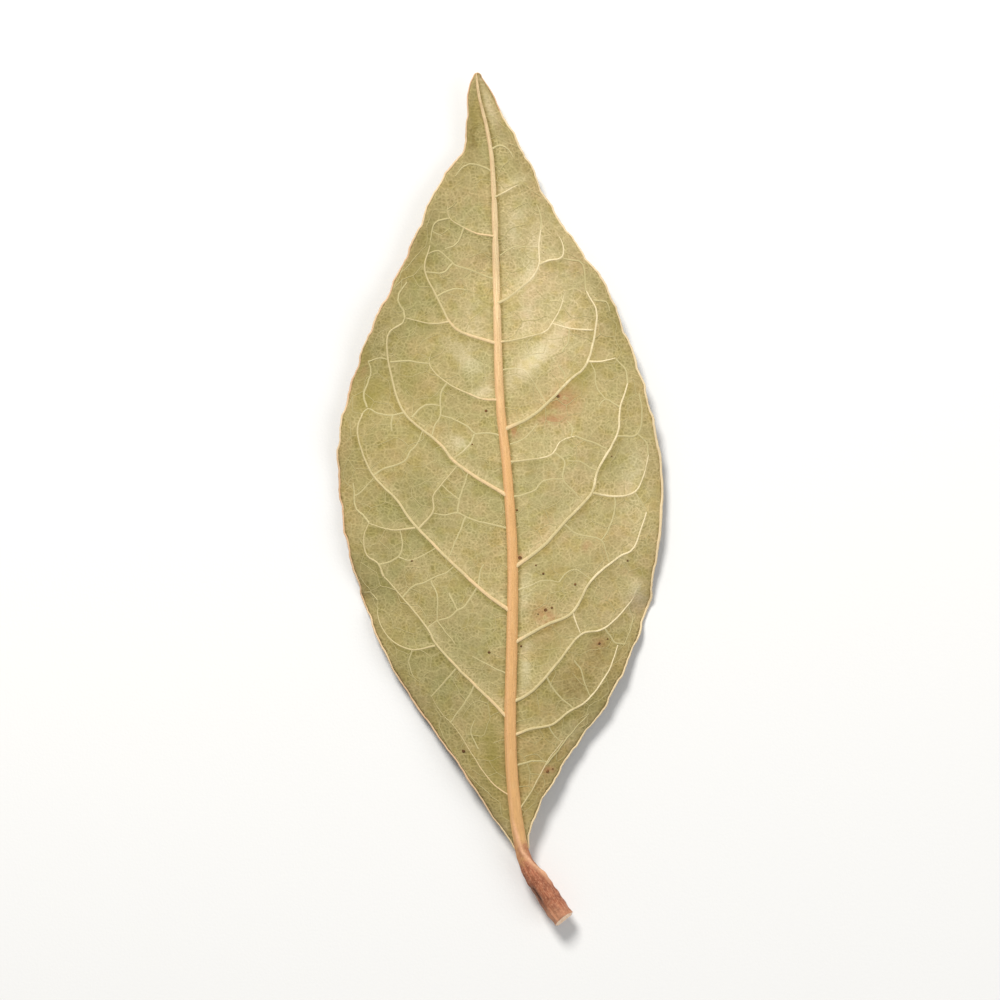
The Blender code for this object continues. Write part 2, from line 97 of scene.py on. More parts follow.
TIP = [(-1.78, 40.35), (-2.08, 40.52), (-2.38, 40.38)]
MARGIN_RIPPLE = 0.08
MARGIN_RIPPLE_LENGTH = 3.4
MARGIN_STEP = 0.22
# Finer crinkles of the margin: height, length and phase
MARGIN_CRINKLES = [(0.03, 1.9, 0.6), (0.018, 1.13, 2.1), (0.012, 0.71, 4.0)]

MIDRIB = [
    (2.1, -33.0), (1.65, -30.5), (1.15, -25.5), (1.0, -20.0), (1.15, -13.0), (1.2, -5.0), (0.7, 3.0),
    (0.0, 10.0), (-0.3, 20.0), (-0.5, 28.0), (-0.8, 33.0), (-1.2, 35.3), (-2.0, 38.6), (-2.2, 40.4),
]
MIDRIB_LEVEL = [
    (-36.0, 1.9), (-33.0, 2.2), (-28.0, 2.7), (-20.0, 3.3), (-10.0, 3.5), (0.0, 2.9), (10.0, 1.6),
    (16.0, 0.95), (20.5, 0.7), (25.0, 0.8), (30.0, 1.15), (36.0, 1.9), (41.0, 2.8),
]
LEFT_RISE = [
    (-34.0, -0.2), (-28.0, -0.7), (-22.0, -1.6), (-16.0, -2.25), (-10.0, -2.45), (-4.0, -2.1),
    (2.0, -1.3), (8.0, -0.2), (14.0, 1.0), (20.0, 1.6), (26.0, 1.4), (32.0, 0.7), (41.0, 0.1),
]
RIGHT_RISE = [
    (-34.0, -0.2), (-28.0, -0.6), (-22.0, -1.4), (-16.0, -2.2), (-10.5, -2.5), (-5.0, -2.15),
    (2.0, -1.0), (8.0, 0.1), (14.0, 1.2), (20.0, 1.7), (26.0, 1.3), (32.0, 0.6), (41.0, 0.1),
]
RISE_POWER = 2.0
LEFT_WAVE = (0.28, 10.5, 4.1)
RIGHT_WAVE = (0.26, 12.6, 3.7)
# Low spots that the leaf lies on: x, y, how far the blade dips there, and the dip's radius
MIDRIB_REST = (-0.3, 21.6, 0.7, 2.1)
MARGIN_RESTS = [(-12.9, -9.6, 0.6, 1.4), (13.75, -10.4, 0.6, 1.4)]
REST_LEVEL = 0.3
# Puckers between the side veins: centre x and y, height, half-length, half-width, heading in degrees
PUCKERS = [
    (4.2, 13.6, 0.30, 4.0, 1.6, 48.0), (3.0, 20.6, 0.24, 3.0, 1.3, 62.0),
    (-2.6, 11.0, 0.20, 3.2, 1.7, 125.0), (-3.4, 21.0, 0.15, 3.0, 1.6, 120.0),
    (-8.6, 12.6, 0.20, 3.4, 1.9, 115.0), (-6.4, 1.8, 0.18, 4.6, 1.8, 132.0),
    (-4.8, -10.2, 0.20, 4.6, 1.9, 133.0), (6.0, 2.8, 0.22, 4.4, 1.9, 50.0),
    (8.4, -5.2, 0.20, 3.6, 1.6, 45.0), (5.2, -15.6, 0.18, 3.4, 1.3, 42.0),
    (12.8, -8.6, 0.25, 1.7, 1.1, 70.0),
]

# Midrib and stalk: (y, middle over the blade's middle layer), (y, radius)
MIDRIB_OVER_BLADE = [
    (-34.0, 0.0), (-31.0, 0.06), (-27.0, 0.14), (-20.0, 0.16), (24.0, 0.14), (34.0, 0.18), (41.0, 0.20),
]
MIDRIB_RADIUS = [
    (-41.0, 0.95), (-39.5, 0.98), (-38.5, 1.03), (-37.0, 1.03), (-36.0, 0.93), (-35.3, 0.84),
    (-34.3, 0.70), (-33.3, 0.62), (-30.0, 0.60), (-26.0, 0.57), (-13.0, 0.53), (0.0, 0.47),
    (13.0, 0.41), (26.0, 0.31), (32.0, 0.22), (36.0, 0.165), (39.0, 0.13), (40.3, 0.07),
]
STALK = [(7.0, -40.7, 2.1), (6.1, -39.6, 1.95), (4.9, -38.0, 1.9), (3.65, -36.1, 1.95), (2.65, -34.5, 2.1)]
STALK_CUT_AT = (6.1, -39.6)
STALK_CUT_LEAN = 14.0
# Where the stalk's raised ridge, lit with painted highlight, runs: level along the leaf, and turn round the
# stalk in half circles
STALK_RIDGE = [(-35.6, 0.08), (-34.0, 0.30), (-33.0, 0.50), (-30.0, 0.70)]

# Side veins: radius where each leaves its parent vein, then its plan course outwards
VEINS = [
    (0.13, [(-0.5, 28.9), (0.5, 29.4), (2.2, 30.3)]),
    (0.20, [(-0.3, 18.8), (1.0, 19.5), (3.0, 21.2), (3.7, 22.5), (3.7, 24.2), (3.9, 25.8)]),
    (0.14, [(3.7, 22.5), (4.6, 22.9), (5.9, 23.1), (6.0, 24.4), (5.3, 25.7)]),
    (0.14, [(-0.2, 15.1), (1.6, 15.4), (4.2, 16.1), (5.0, 17.0), (5.9, 18.7), (6.2, 20.4)]),
    (0.25, [(0.4, 6.8), (2.6, 7.8), (4.3, 9.1), (6.6, 11.5), (8.3, 13.2), (9.2, 17.6), (8.2, 19.9)]),
    (0.14, [(8.3, 13.3), (9.6, 13.3), (11.0, 13.6)]),
    (0.13, [(8.9, 16.3), (6.8, 16.4), (5.0, 16.9)]),
    (0.15, [(0.6, 3.7), (3.3, 4.0), (5.0, 4.5), (5.7, 5.7), (7.2, 6.2)]),
    (0.26, [(1.2, -6.4), (4.2, -4.1), (6.1, -2.0), (8.6, 0.7), (9.3, 3.0), (11.1, 6.3), (11.4, 8.8),
            (12.1, 11.2)]),
    (0.16, [(8.8, 0.8), (10.9, 0.5), (12.8, 0.9), (13.7, 2.7), (14.1, 4.4)]),
    (0.24, [(1.2, -13.4), (4.3, -11.7), (6.9, -10.4), (8.6, -7.5), (11.2, -5.3), (12.7, -4.3),
    (13.9, -1.0)]),
    (0.14, [(6.9, -10.4), (7.2, -11.4), (7.6, -12.5)]),
    (0.22, [(1.0, -19.0), (3.0, -17.9), (5.3, -15.4), (7.6, -12.6), (9.9, -12.0), (12.2, -9.8),
            (13.0, -8.3)]),
    (0.20, [(1.0, -22.1), (3.2, -21.4), (5.0, -21.0), (6.5, -19.9), (8.3, -18.8), (10.3, -16.1),
            (11.2, -13.6)]),
    (0.11, [(1.7, -29.4), (3.2, -27.0), (4.6, -24.4), (6.0, -22.6)]),
    (0.14, [(-0.4, 25.2), (-2.2, 25.5), (-3.3, 26.0), (-4.8, 26.9), (-4.9, 28.8)]),
    (0.22, [(-0.3, 15.0), (-3.6, 16.1), (-4.7, 17.0), (-5.9, 19.3), (-7.1, 22.0), (-6.6, 24.3)]),
    (0.13, [(-4.8, 17.1), (-6.5, 16.9), (-9.0, 17.4)]),
    (0.15, [(-0.2, 9.6), (-1.9, 9.8), (-4.9, 11.2), (-6.7, 13.0), (-6.3, 14.6)]),
    (0.25, [(0.6, 0.6), (-4.0, 3.5), (-5.5, 5.3), (-9.0, 8.4), (-10.4, 12.4), (-10.6, 15.7), (-9.3, 16.8)]),
    (0.26, [(1.0, -10.3), (-2.0, -8.1), (-7.7, -2.6), (-9.7, 0.1), (-12.2, 2.8), (-13.5, 6.5),
    (-13.0, 8.3)]),
    (0.15, [(-7.7, -2.6), (-6.3, -1.0), (-6.3, 0.5), (-5.5, 1.6), (-4.1, 3.3)]),
    (0.14, [(-8.0, -2.5), (-10.2, -2.7), (-12.4, -2.1)]),
    (0.22, [(0.6, -20.2), (-1.0, -18.6), (-3.9, -15.8), (-6.1, -13.3), (-6.8, -12.0), (-9.2, -9.1),
            (-11.0, -7.1)]),
    (0.15, [(-11.0, -7.1), (-11.5, -5.9), (-12.6, -5.1), (-12.9, -3.4), (-12.4, -2.1)]),
    (0.13, [(-6.1, -13.6), (-8.3, -14.0), (-10.3, -13.1), (-11.5, -11.2), (-11.6, -9.3)]),
    (0.10, [(1.1, -27.9), (-0.8, -26.5), (-2.4, -24.2), (-4.2, -21.4), (-5.4, -20.2), (-6.6, -18.2)]),
]

# Cross veins of the net, and the fainter ones among them
NET_VEINS = [
    [(-0.5, 21.2), (-1.7, 21.6), (-3.0, 22.1), (-4.2, 22.4), (-4.9, 23.1), (-5.8, 23.8), (-6.9, 23.4)],
    [(-4.5, 22.6), (-5.5, 21.7), (-7.0, 21.8)],
    [(-6.0, 19.4), (-5.2, 19.9), (-4.3, 20.2), (-3.2, 20.1)],
    [(-3.4, 26.0), (-3.8, 25.0), (-4.3, 24.3), (-5.2, 24.0)],
    [(-4.8, 26.9), (-5.8, 26.6), (-6.3, 26.1), (-6.6, 24.8)],
    [(-9.0, 17.4), (-9.2, 18.2), (-9.7, 19.0), (-9.4, 20.0), (-8.8, 20.8)],
    [(-5.0, 11.2), (-5.6, 10.2), (-5.6, 8.2), (-6.2, 7.2), (-6.4, 6.3)],
    [(0.2, 6.2), (-1.2, 6.5), (-2.3, 6.4), (-2.9, 7.0), (-3.9, 7.6), (-5.6, 8.2)],
    [(-2.4, 6.4), (-2.8, 5.4), (-3.7, 4.5), (-4.4, 4.1)],
    [(-11.9, 2.5), (-10.9, 3.1), (-9.0, 3.8), (-8.5, 4.7), (-7.9, 5.3), (-7.2, 6.8)],
    [(-9.0, 8.4), (-10.1, 8.2), (-11.5, 8.3), (-12.5, 8.8), (-13.1, 8.2)],
    [(-10.1, 8.2), (-10.3, 7.4), (-10.2, 6.6)],
    [(-10.4, 13.2), (-8.8, 13.3), (-6.7, 13.1)],
    [(-8.3, 8.0), (-7.5, 8.9), (-6.6, 9.2), (-5.6, 9.1)],
    [(-12.6, 8.9), (-12.9, 10.2), (-12.2, 12.2), (-12.5, 13.2)],
    [(0.9, -2.6), (-1.8, -1.9), (-2.9, -1.6), (-4.0, -1.1), (-5.2, -1.3), (-6.3, -1.1)],
    [(-4.0, -1.1), (-3.8, 0.2), (-3.0, 2.7)],
    [(-3.2, -1.5), (-3.8, -2.9), (-4.8, -5.3)],
    [(-9.2, -9.1), (-8.2, -8.0), (-7.2, -7.7), (-6.2, -7.1), (-5.0, -6.7), (-4.3, -6.1)],
    [(-6.5, -7.5), (-5.9, -8.8), (-5.9, -11.3)],
    [(-2.1, -8.1), (-3.2, -9.8), (-4.0, -10.2), (-4.7, -10.9), (-5.9, -11.3), (-6.8, -12.0)],
    [(-4.8, -8.6), (-4.0, -10.2)],
    [(-11.5, -6.0), (-10.6, -5.8), (-9.6, -5.2), (-9.2, -4.2), (-9.4, -2.7)],
    [(-12.4, -2.1), (-12.9, -1.3), (-13.6, -0.8), (-13.8, 0.6), (-13.9, 1.8)],
    [(-2.0, -8.1), (-1.9, -6.8), (-1.5, -5.9)],
    [(-2.4, -17.4), (-3.4, -19.2), (-4.6, -20.9)],
    [(-4.1, -15.8), (-5.2, -17.0), (-6.5, -18.5)],
    [(8.2, 19.9), (8.0, 22.0), (7.6, 22.8), (6.7, 22.9), (5.9, 23.1)],
    [(5.9, 14.2), (6.5, 15.2), (6.6, 16.4)],
    [(8.9, 19.1), (10.1, 18.9), (10.4, 18.0)],
    [(3.9, 25.8), (3.9, 27.0), (3.5, 28.2)],
    [(12.1, 11.2), (12.0, 12.3), (11.5, 13.0), (11.0, 13.6)],
    [(11.4, 8.9), (10.7, 9.3), (10.0, 9.7), (9.4, 9.0)],
    [(11.1, 6.2), (12.1, 6.2), (13.1, 6.4), (13.5, 8.2), (13.2, 10.2)],
    [(14.1, 4.4), (13.9, 5.6), (13.1, 6.4)],
    [(1.1, 0.4), (2.5, 0.7), (3.4, 1.1), (4.0, 1.9), (5.9, 2.1)],
    [(5.2, 4.6), (6.2, 3.8), (5.9, 2.3), (6.3, 1.6), (7.0, 0.9), (7.7, 0.2)],
    [(7.2, 6.2), (8.4, 5.7), (10.2, 5.0)],
    [(9.9, -12.0), (10.5, -12.8), (10.9, -13.4), (11.8, -13.6)],
    [(6.0, -2.1), (7.0, -2.9), (7.9, -3.2), (9.6, -3.7), (10.4, -5.9)],
    [(10.9, 0.5), (10.9, -0.8), (10.3, -2.6), (9.6, -3.7)],
    [(12.8, 0.9), (13.2, 0.2), (13.9, -0.8)],
    [(4.4, -16.5), (5.2, -18.0), (6.2, -18.9), (7.0, -19.6)],
    [(4.3, -24.9), (5.6, -23.4), (7.0, -21.6), (8.4, -20.1)],
    [(1.2, -25.0), (3.2, -24.5), (4.5, -24.6)],
    [(-0.8, 33.4), (0.1, 33.8), (0.9, 33.3), (1.3, 32.6)],
    [(-0.7, 31.3), (-1.6, 31.8), (-2.8, 32.1)],
]
FAINT_VEINS = [
    [(-2.8, 32.1), (-3.4, 31.8), (-4.2, 30.9)],
    [(-6.3, 26.1), (-6.4, 25.6), (-5.5, 25.2)],
    [(-9.0, 17.4), (-9.2, 16.9), (-10.1, 16.4), (-10.6, 15.7)],
    [(-12.5, 13.2), (-11.4, 13.6), (-10.5, 13.4)],
    [(-13.8, 0.6), (-13.1, 0.9), (-11.9, 2.3)],
    [(-3.8, 0.2), (-4.8, 0.9), (-5.5, 1.6)],
    [(-9.6, -5.2), (-8.6, -5.6), (-7.4, -5.2), (-6.0, -4.4)],
    [(-11.6, -9.3), (-12.3, -8.6), (-12.9, -8.6)],
    [(-5.9, -11.3), (-5.0, -12.4), (-4.2, -13.4)],
    [(-8.3, -14.0), (-8.6, -15.3), (-8.2, -16.6)],
    [(0.6, -16.2), (-1.0, -15.4), (-2.6, -14.6)],
    [(-2.0, -23.4), (-2.7, -21.9), (-2.4, -20.6)],
    [(5.6, 12.9), (6.1, 12.2), (6.2, 11.4)],
    [(6.8, 6.1), (6.9, 7.0), (6.3, 7.7)],
    [(1.0, 5.4), (2.4, 6.0), (3.6, 7.4)],
    [(9.4, 2.9), (8.5, 3.2), (7.7, 3.8), (6.4, 3.8)],
    [(10.0, 9.7), (9.2, 10.8), (9.0, 12.4), (8.6, 13.2)],
    [(5.6, -7.6), (6.3, -6.8), (7.2, -6.4), (8.6, -7.4)],
    [(1.4, -8.4), (2.8, -8.0), (4.2, -7.4), (5.6, -7.6)],
    [(7.0, -15.0), (7.7, -16.0), (8.0, -17.2), (8.6, -18.5)],
    [(12.2, -9.8), (12.6, -11.5), (11.8, -13.6)],
    [(4.6, -21.1), (5.2, -22.2), (5.9, -22.8)],
    [(0.0, 23.4), (1.2, 24.2), (2.6, 24.2), (3.7, 24.2)],
    [(-0.2, 12.4), (1.4, 12.6), (2.6, 12.2), (4.4, 9.3)],
]
NET_VEIN_RADIUS = 0.10
FAINT_VEIN_RADIUS = 0.08
VEIN_END_RADIUS = 0.4  # share of the first radius left at the far end
STOUT_VEIN = 0.26
FREE_END_GAP = 0.7  # a vein whose end is further than this from any other fades out
# Marks on the underside: x, y, half-length, half-width, heading in degrees and strength
RUST_STAINS = [
    (6.0, 9.6, 1.6, 1.1, 20.0, 0.7), (5.0, 7.8, 1.3, 0.5, 5.0, 0.8), (5.6, 10.0, 0.4, 0.4, 0.0, 1.0),
    (1.3, 6.6, 0.55, 0.45, 90.0, 0.8),
    (4.3, -10.8, 1.3, 0.9, 150.0, 0.7), (8.2, -4.2, 0.6, 0.4, 60.0, 0.5), (9.4, -13.4, 0.8, 0.6, 20.0, 0.5),
    (4.6, -25.4, 0.5, 0.3, 0.0, 0.9), (1.9, -5.2, 0.4, 0.3, 40.0, 0.7), (-12.9, 12.4, 0.8, 0.4, 70.0, 0.3),
]
DARK_BLOTCHES = [
    (7.2, -17.4, 2.4, 1.5, 40.0, 0.7), (9.2, -14.4, 1.8, 1.2, 60.0, 0.6),
    (10.6, -17.0, 1.4, 0.8, 60.0, 0.35),
    (3.2, 3.0, 0.9, 0.6, 100.0, 0.35), (5.3, 0.3, 1.2, 0.6, 100.0, 0.25), (-2.5, 34.6, 1.6, 0.7, 85.0, 0.8),
    (-0.2, 35.2, 0.9, 0.5, 60.0, 0.6), (-0.6, -24.0, 3.0, 0.7, 97.0, 0.35),
]
OLIVE_BLOTCHES = [
    (13.4, -6.7, 1.0, 0.55, 160.0, 0.9), (10.9, 18.4, 1.5, 0.7, 100.0, 0.6),
    (-7.6, 22.9, 2.6, 0.9, 65.0, 0.45),
    (-2.5, 36.2, 1.9, 0.45, 95.0, 0.45), (12.4, -4.9, 1.0, 0.4, 140.0, 0.4),
    (-13.4, 12.6, 2.2, 0.8, 72.0, 0.5),
    (-12.5, 10.0, 2.0, 1.2, 80.0, 0.95), (-8.6, 11.6, 2.2, 1.2, 115.0, 0.5),
    (8.0, 12.0, 2.6, 1.2, 60.0, 0.6),
    (-12.8, 6.0, 1.4, 0.8, 80.0, 0.25), (-0.6, -24.2, 3.2, 0.9, 98.0, 0.9),
    (4.6, -14.0, 1.5, 0.8, 40.0, 0.5),
    (5.2, -6.0, 1.8, 1.0, 45.0, 0.25), (-3.4, 34.2, 1.3, 0.7, 80.0, 0.45),
    (-9.2, -14.0, 1.4, 0.8, 130.0, 0.25),
    (-4.0, 14.2, 1.4, 0.8, 100.0, 0.3),
]
# Paler patches on the puckers: partly their own paler colour, partly painted highlight where they rise to
# the light
PALE_AND_HIGHLIGHT_PATCHES = [
    (-2.0, 40.1, 0.45, 0.35, 90.0, 1.0),
    (3.3, 13.5, 2.7, 0.85, 43.0, 1.0), (5.9, 16.3, 1.7, 0.7, 58.0, 0.5), (2.6, 17.6, 1.5, 0.6, 75.0, 0.5),
    (2.8, 21.4, 1.8, 0.8, 65.0, 0.65), (3.4, 24.0, 1.8, 0.6, 85.0, 0.6), (1.5, 26.5, 2.2, 0.7, 80.0, 0.4),
    (1.4, 30.2, 1.2, 0.5, 30.0, 0.5), (-3.3, 13.6, 2.2, 0.9, 130.0, 0.55),
    (-1.6, 10.4, 1.0, 0.5, 20.0, 0.55),
    (-3.7, 5.5, 1.0, 0.7, 150.0, 0.6), (-2.6, 17.0, 1.6, 0.8, 100.0, 0.3),
    (2.5, -15.3, 2.4, 0.45, 88.0, 0.6),
    (2.4, -8.4, 2.0, 0.7, 80.0, 0.4), (13.2, -8.9, 1.3, 0.8, 100.0, 0.8), (12.6, 2.4, 2.4, 1.0, 80.0, 0.35),
    (-1.0, 37.4, 2.8, 0.45, 113.0, 0.6), (0.4, 34.2, 1.6, 0.5, 120.0, 0.15),
    (11.6, -5.4, 0.8, 0.4, 30.0, 0.4), (-6.3, -12.2, 0.9, 0.3, 125.0, 0.3),
]
# Broad paler fields: partly the underside's own paler tone, partly painted light that brightens the right
# half and the sides of the base
PALER_AND_LIT_FIELDS = [
    (2.8, -31.0, 1.8, 0.7, 100.0, 0.7), (0.3, -30.6, 1.6, 0.7, 130.0, 0.6),
    (5.0, 19.0, 11.0, 5.0, 100.0, 1.0), (13.0, -1.0, 9.0, 2.4, 88.0, 0.75),
    (6.0, 2.0, 16.0, 5.0, 95.0, 0.5),
    (-3.0, -4.0, 16.0, 3.0, 94.0, 0.25), (-3.0, 22.0, 10.0, 3.0, 100.0, 0.4),
    (11.0, -10.0, 3.0, 2.0, 60.0, 0.65),
    (12.3, -10.2, 1.7, 1.1, 80.0, 1.0), (7.0, -22.0, 1.6, 1.0, 55.0, 0.7),
    (-7.9, -6.0, 2.2, 1.2, 130.0, 0.3), (-7.3, -18.0, 1.6, 1.0, 125.0, 0.3),
]
BROWNER_FIELDS = [(2.0, -26.5, 5.0, 5.0, 90.0, 0.85), (9.0, -16.0, 6.0, 3.0, 55.0, 0.4)]
# Dark specks: x, y and radius
DOTS = [
    (-1.3, 8.6, 0.14), (5.5, 10.0, 0.16), (-2.6, 5.4, 0.08), (10.6, 4.3, 0.08), (1.6, -0.8, 0.12),
    (1.9, -5.3, 0.19), (3.4, -6.0, 0.10), (4.1, -6.8, 0.12), (7.1, -7.8, 0.13), (4.3, -10.2, 0.17),
    (4.9, -10.0, 0.12), (3.6, -10.6, 0.08), (9.4, -13.4, 0.15), (10.2, -13.0, 0.10), (2.0, -13.6, 0.12),
    (12.1, -5.6, 0.11), (-8.3, -5.6, 0.11), (-1.0, -14.2, 0.14), (-3.4, -23.6, 0.18), (4.5, -25.5, 0.17),
    (5.0, -25.3, 0.10), (-6.6, -11.4, 0.06), (-8.7, -13.5, 0.06), (-5.4, 22.4, 0.05), (-3.3, 25.7, 0.05),
]

# Steps along curves through given points: graphs, veins that the blade is fitted to, and strands
GRAPH_STEP = 0.2
VEIN_SAMPLE_STEP = 0.2
VEIN_COURSE_STEP = 0.4

WIDEST_BETWEEN = (-30.0, 38.0)  # the stretch of y that holds the blade's widest spot
SAME_POINT = 1e-5  # points closer than this would count as one
MAP_EDGE = 0.01  # empty share left along the sides of a map

# Where the margin's crinkles calm down: in the middle of the right side, low on the left, and by the tip
CALM_RIGHT = 0.65
CALM_RIGHT_REACH = 7.0
CALM_LEFT = 0.45
CALM_LEFT_FROM = -10.0
CALM_LEFT_OVER = 6.0
CALM_TIP_OVER = 5.0

# The blade's points: gap to the margin on each face, and how much coarser the upper face is
UNDERSIDE_GAP = 0.16
UPPER_FACE_GAP = 0.22
UPPER_FACE_COARSENESS = 1.7
EDGE_ROUNDING = 0.3
# What veins and midrib do to the blade: height, and how far it reaches
VEIN_RIDGE = (0.07, 0.32)
VEIN_SWELL = (0.06, 0.95)
MIDRIB_SWELL = (0.10, 0.8)
# Cockles keep away from the low spots and from the midrib
REST_CALM_REACH = 3.0
MIDRIB_CALM_REACH = 1.6

# Rays that find the blade, in metres: how far over or under zero level they start, and their length
RAY_START = 0.05
RAY_LENGTH = 0.1
# Share of the tables' radii that side veins have on the underside, and that they have on the upper face
SIDE_VEIN_SHARE = 0.72
UPPER_VEIN_SHARE = 0.42
FREE_END_FADE = 1.5  # length over which a free end slims
FREE_END_LEAST = 0.4  # share of its radius that is left
VEIN_FOOT = (0.15, 0.8)  # how much stouter a vein starts, and how far that reaches
BRANCH_GAP = 0.5  # a vein that starts further than this from the midrib is a branch
# The net's grid: gap to the margin, unevenness as a share of its spacing, and how far its rim is drawn in
NET_GAP = 0.6
NET_JITTER = 0.33
NET_RIM_PULL = 0.015
# The slim midrib line of the upper face: its radius at each y
UPPER_LINE_AT = [-31.0, -20.0, 30.0, 40.0]
UPPER_LINE_RADIUS = [0.30, 0.26, 0.14, 0.08]

# Midrib and stalk as one rod
ROD_STEP = 0.16
ROD_SIDES = 44
ROD_FLATTENING = 0.22  # of the midrib's height; the stalk stays round
STALK_FROM = -30.0
STALK_OVER = 5.0
CUT_BELOW = -36.0
# The stalk's groove, darkened with painted shade: turn in half circles, its width, place along the leaf,
# its length and depth
GROOVE_TURN = 0.84
GROOVE_WIDTH = 0.42
GROOVE_Y = -37.0
GROOVE_LENGTH = 0.9
GROOVE_DEPTH = 0.42
# Its bright ridge: width, and height as a share of the radius
RIDGE_WIDTH = 0.32
RIDGE_HEIGHT = 0.14
# Rings of the cut face: share of its width, and how uneven each is
CUT_RINGS = [(0.96, 0.0), (0.86, 0.02), (0.68, 0.05), (0.46, 0.05), (0.22, 0.04)]
CUT_MIDDLE_RISE = 0.03
TIP_REACH = 0.4  # how far the closed tip passes the last ring, in steps
CUT_ON_MAP = 0.05  # share of the rod's map that the cut takes

# Finishes: sizes of patterns, then colours. A tint multiplies what lies under it
VEINLET_CELLS = 2.9
HATCH_SIZE = (1.1, 0.16, 1.0)
FIBRE_SIZE = (0.10, 1.6, 1.0)
# colour of the paler fields: partly painted light
PALER_AND_LIT_FIELD = (0.58, 0.46, 0.245)
BROWNER_FIELD = (0.355, 0.250, 0.090)
# the puckers' patches: partly their own paler colour, partly painted highlight
PUCKER_PALE_AND_HIGHLIGHT = (0.80, 0.68, 0.45)
GREENER_TINT = (0.90, 0.97, 0.92)
ROSY_TINT = (1.10, 0.98, 1.02)
OLIVE_TINT = (0.90, 0.88, 0.70)
BROWNED_MARGIN = (0.36, 0.25, 0.10)
LIT_VEIN_SIDE = (0.62, 0.48, 0.27)
SHADED_VEIN_TINT = (0.80, 0.78, 0.58)
# painted shade along the midrib's foot
MIDRIB_SHADE_TINT = (0.58, 0.52, 0.36)
HOLLOW_TINT = (0.80, 0.81, 0.72)
PIT_TINT = (0.72, 0.72, 0.60)
VEINLET_TINT = (1.13, 1.14, 1.18)
WIDER_TINT = (1.15, 1.16, 1.20)
COMBED_TINT = (1.12, 1.12, 1.16)
GRAIN_TINT = (0.86, 0.86, 0.80)
BLOTCH_TINT = (0.62, 0.55, 0.42)
OLIVE_BLOTCH = (0.25, 0.215, 0.04)
RUST = (0.42, 0.20, 0.09)
UPPER_FACE_YELLOWER = (0.27, 0.215, 0.075)
UPPER_FACE_MOTTLE = (0.13, 0.115, 0.035)
UPPER_FACE_VEINLET = (0.34, 0.29, 0.12)
# painted highlight beside the upper face's veins
UPPER_FACE_VEIN_HIGHLIGHT = (0.38, 0.30, 0.11)
UPPER_FACE_MARGIN = (0.22, 0.12, 0.04)
UPPER_VEIN_INNER = (0.46, 0.32, 0.13)
UPPER_VEIN_OUTER = (0.36, 0.29, 0.12)
VEIN_PALE_AND_HIGHLIGHT = (0.84, 0.72, 0.48)
VEIN_FLECK = (0.33, 0.24, 0.10)
STRAW_BY_TIP = (0.84, 0.66, 0.38)
STRAW_DARK_FIBRE = (0.58, 0.34, 0.14)
STRAW_LIGHT_FIBRE = (0.88, 0.66, 0.38)
STRAW_FLECK = (0.36, 0.17, 0.06)
BARK_DARK_FIBRE = (0.25, 0.075, 0.035)
BARK_FLECK = (0.58, 0.28, 0.155)
BARK_BLOTCH = (0.14, 0.04, 0.02)
BARK_BY_CUT = (0.64, 0.33, 0.19)
PITH = (1.0, 0.76, 0.54)
PITH_DARKER = (0.92, 0.60, 0.40)
# painted shade in the stalk's groove
GROOVE_SHADE = (0.07, 0.03, 0.018)
# painted highlight along the stalk's raised ridge
RIDGE_HIGHLIGHT = (0.88, 0.50, 0.29)
RIM_FLUSH = (0.66, 0.41, 0.235)
RIM_FLECK = (0.50, 0.32, 0.15)
SPECK_DARK = (0.085, 0.038, 0.012)
SPECK_BROWN = (0.21, 0.10, 0.035)
FLOOR_SHADE = 0.985  # of the floor's colour, where it is darkest

# Marks as they are stored on the blade's points
MARKS = {
    "rust": RUST_STAINS, "dark": DARK_BLOTCHES, "olive": OLIVE_BLOTCHES, "pale": PALE_AND_HIGHLIGHT_PATCHES,
    "paler": PALER_AND_LIT_FIELDS, "browner": BROWNER_FIELDS,
}


def smooth_course(points, spacing):
    """Points about every spacing along a Catmull-Rom curve through given points."""
    fixed = np.array(points, dtype=float)
    ends = 2 * fixed[0] - fixed[1], 2 * fixed[-1] - fixed[-2]
    padded = np.vstack([ends[0], fixed, ends[1]])
    course = [fixed[0]]
    for before, start, end, after in zip(padded, padded[1:], padded[2:], padded[3:]):
        steps = max(1, round(float(np.linalg.norm(end - start)) / spacing))
        for t in np.arange(1, steps + 1) / steps:
            course.append(
                start
                + 0.5 * t * (end - before)
                + 0.5 * t**2 * (2 * before - 5 * start + 4 * end - after)
                + 0.5 * t**3 * (3 * start - before - 3 * end + after)
            )
    return np.array(course)


def graph(points):
    """A function of y that runs smoothly through (y, value) points."""
    ys, values = smooth_course(points, GRAPH_STEP).T
    return lambda y: np.interp(y, ys, values)


def plan_line(points):
    """A function of y that gives the x of a line in plan."""
    return graph([(y, x) for x, y in points])


left_x = plan_line(LEFT_MARGIN)
right_x = plan_line(RIGHT_MARGIN)
midrib_x = plan_line(MIDRIB)
midrib_level = graph(MIDRIB_LEVEL)
left_rise = graph(LEFT_RISE)
right_rise = graph(RIGHT_RISE)
midrib_over_blade = graph(MIDRIB_OVER_BLADE)
midrib_radius = graph(MIDRIB_RADIUS)


def fading(distance, reach):
    """1 at no distance, and less along a bell curve."""
    return np.exp(-((distance / reach) ** 2))


def oval_fading(x, y, centre_x, centre_y, half_length, half_width, heading):
    """1 in the middle of a turned oval, and less outwards along a bell curve."""
    turn = math.radians(heading)
    along = (x - centre_x) * math.cos(turn) + (y - centre_y) * math.sin(turn)
    aside = (y - centre_y) * math.cos(turn) - (x - centre_x) * math.sin(turn)
    return np.exp(-((along / half_length) ** 2) - (aside / half_width) ** 2)


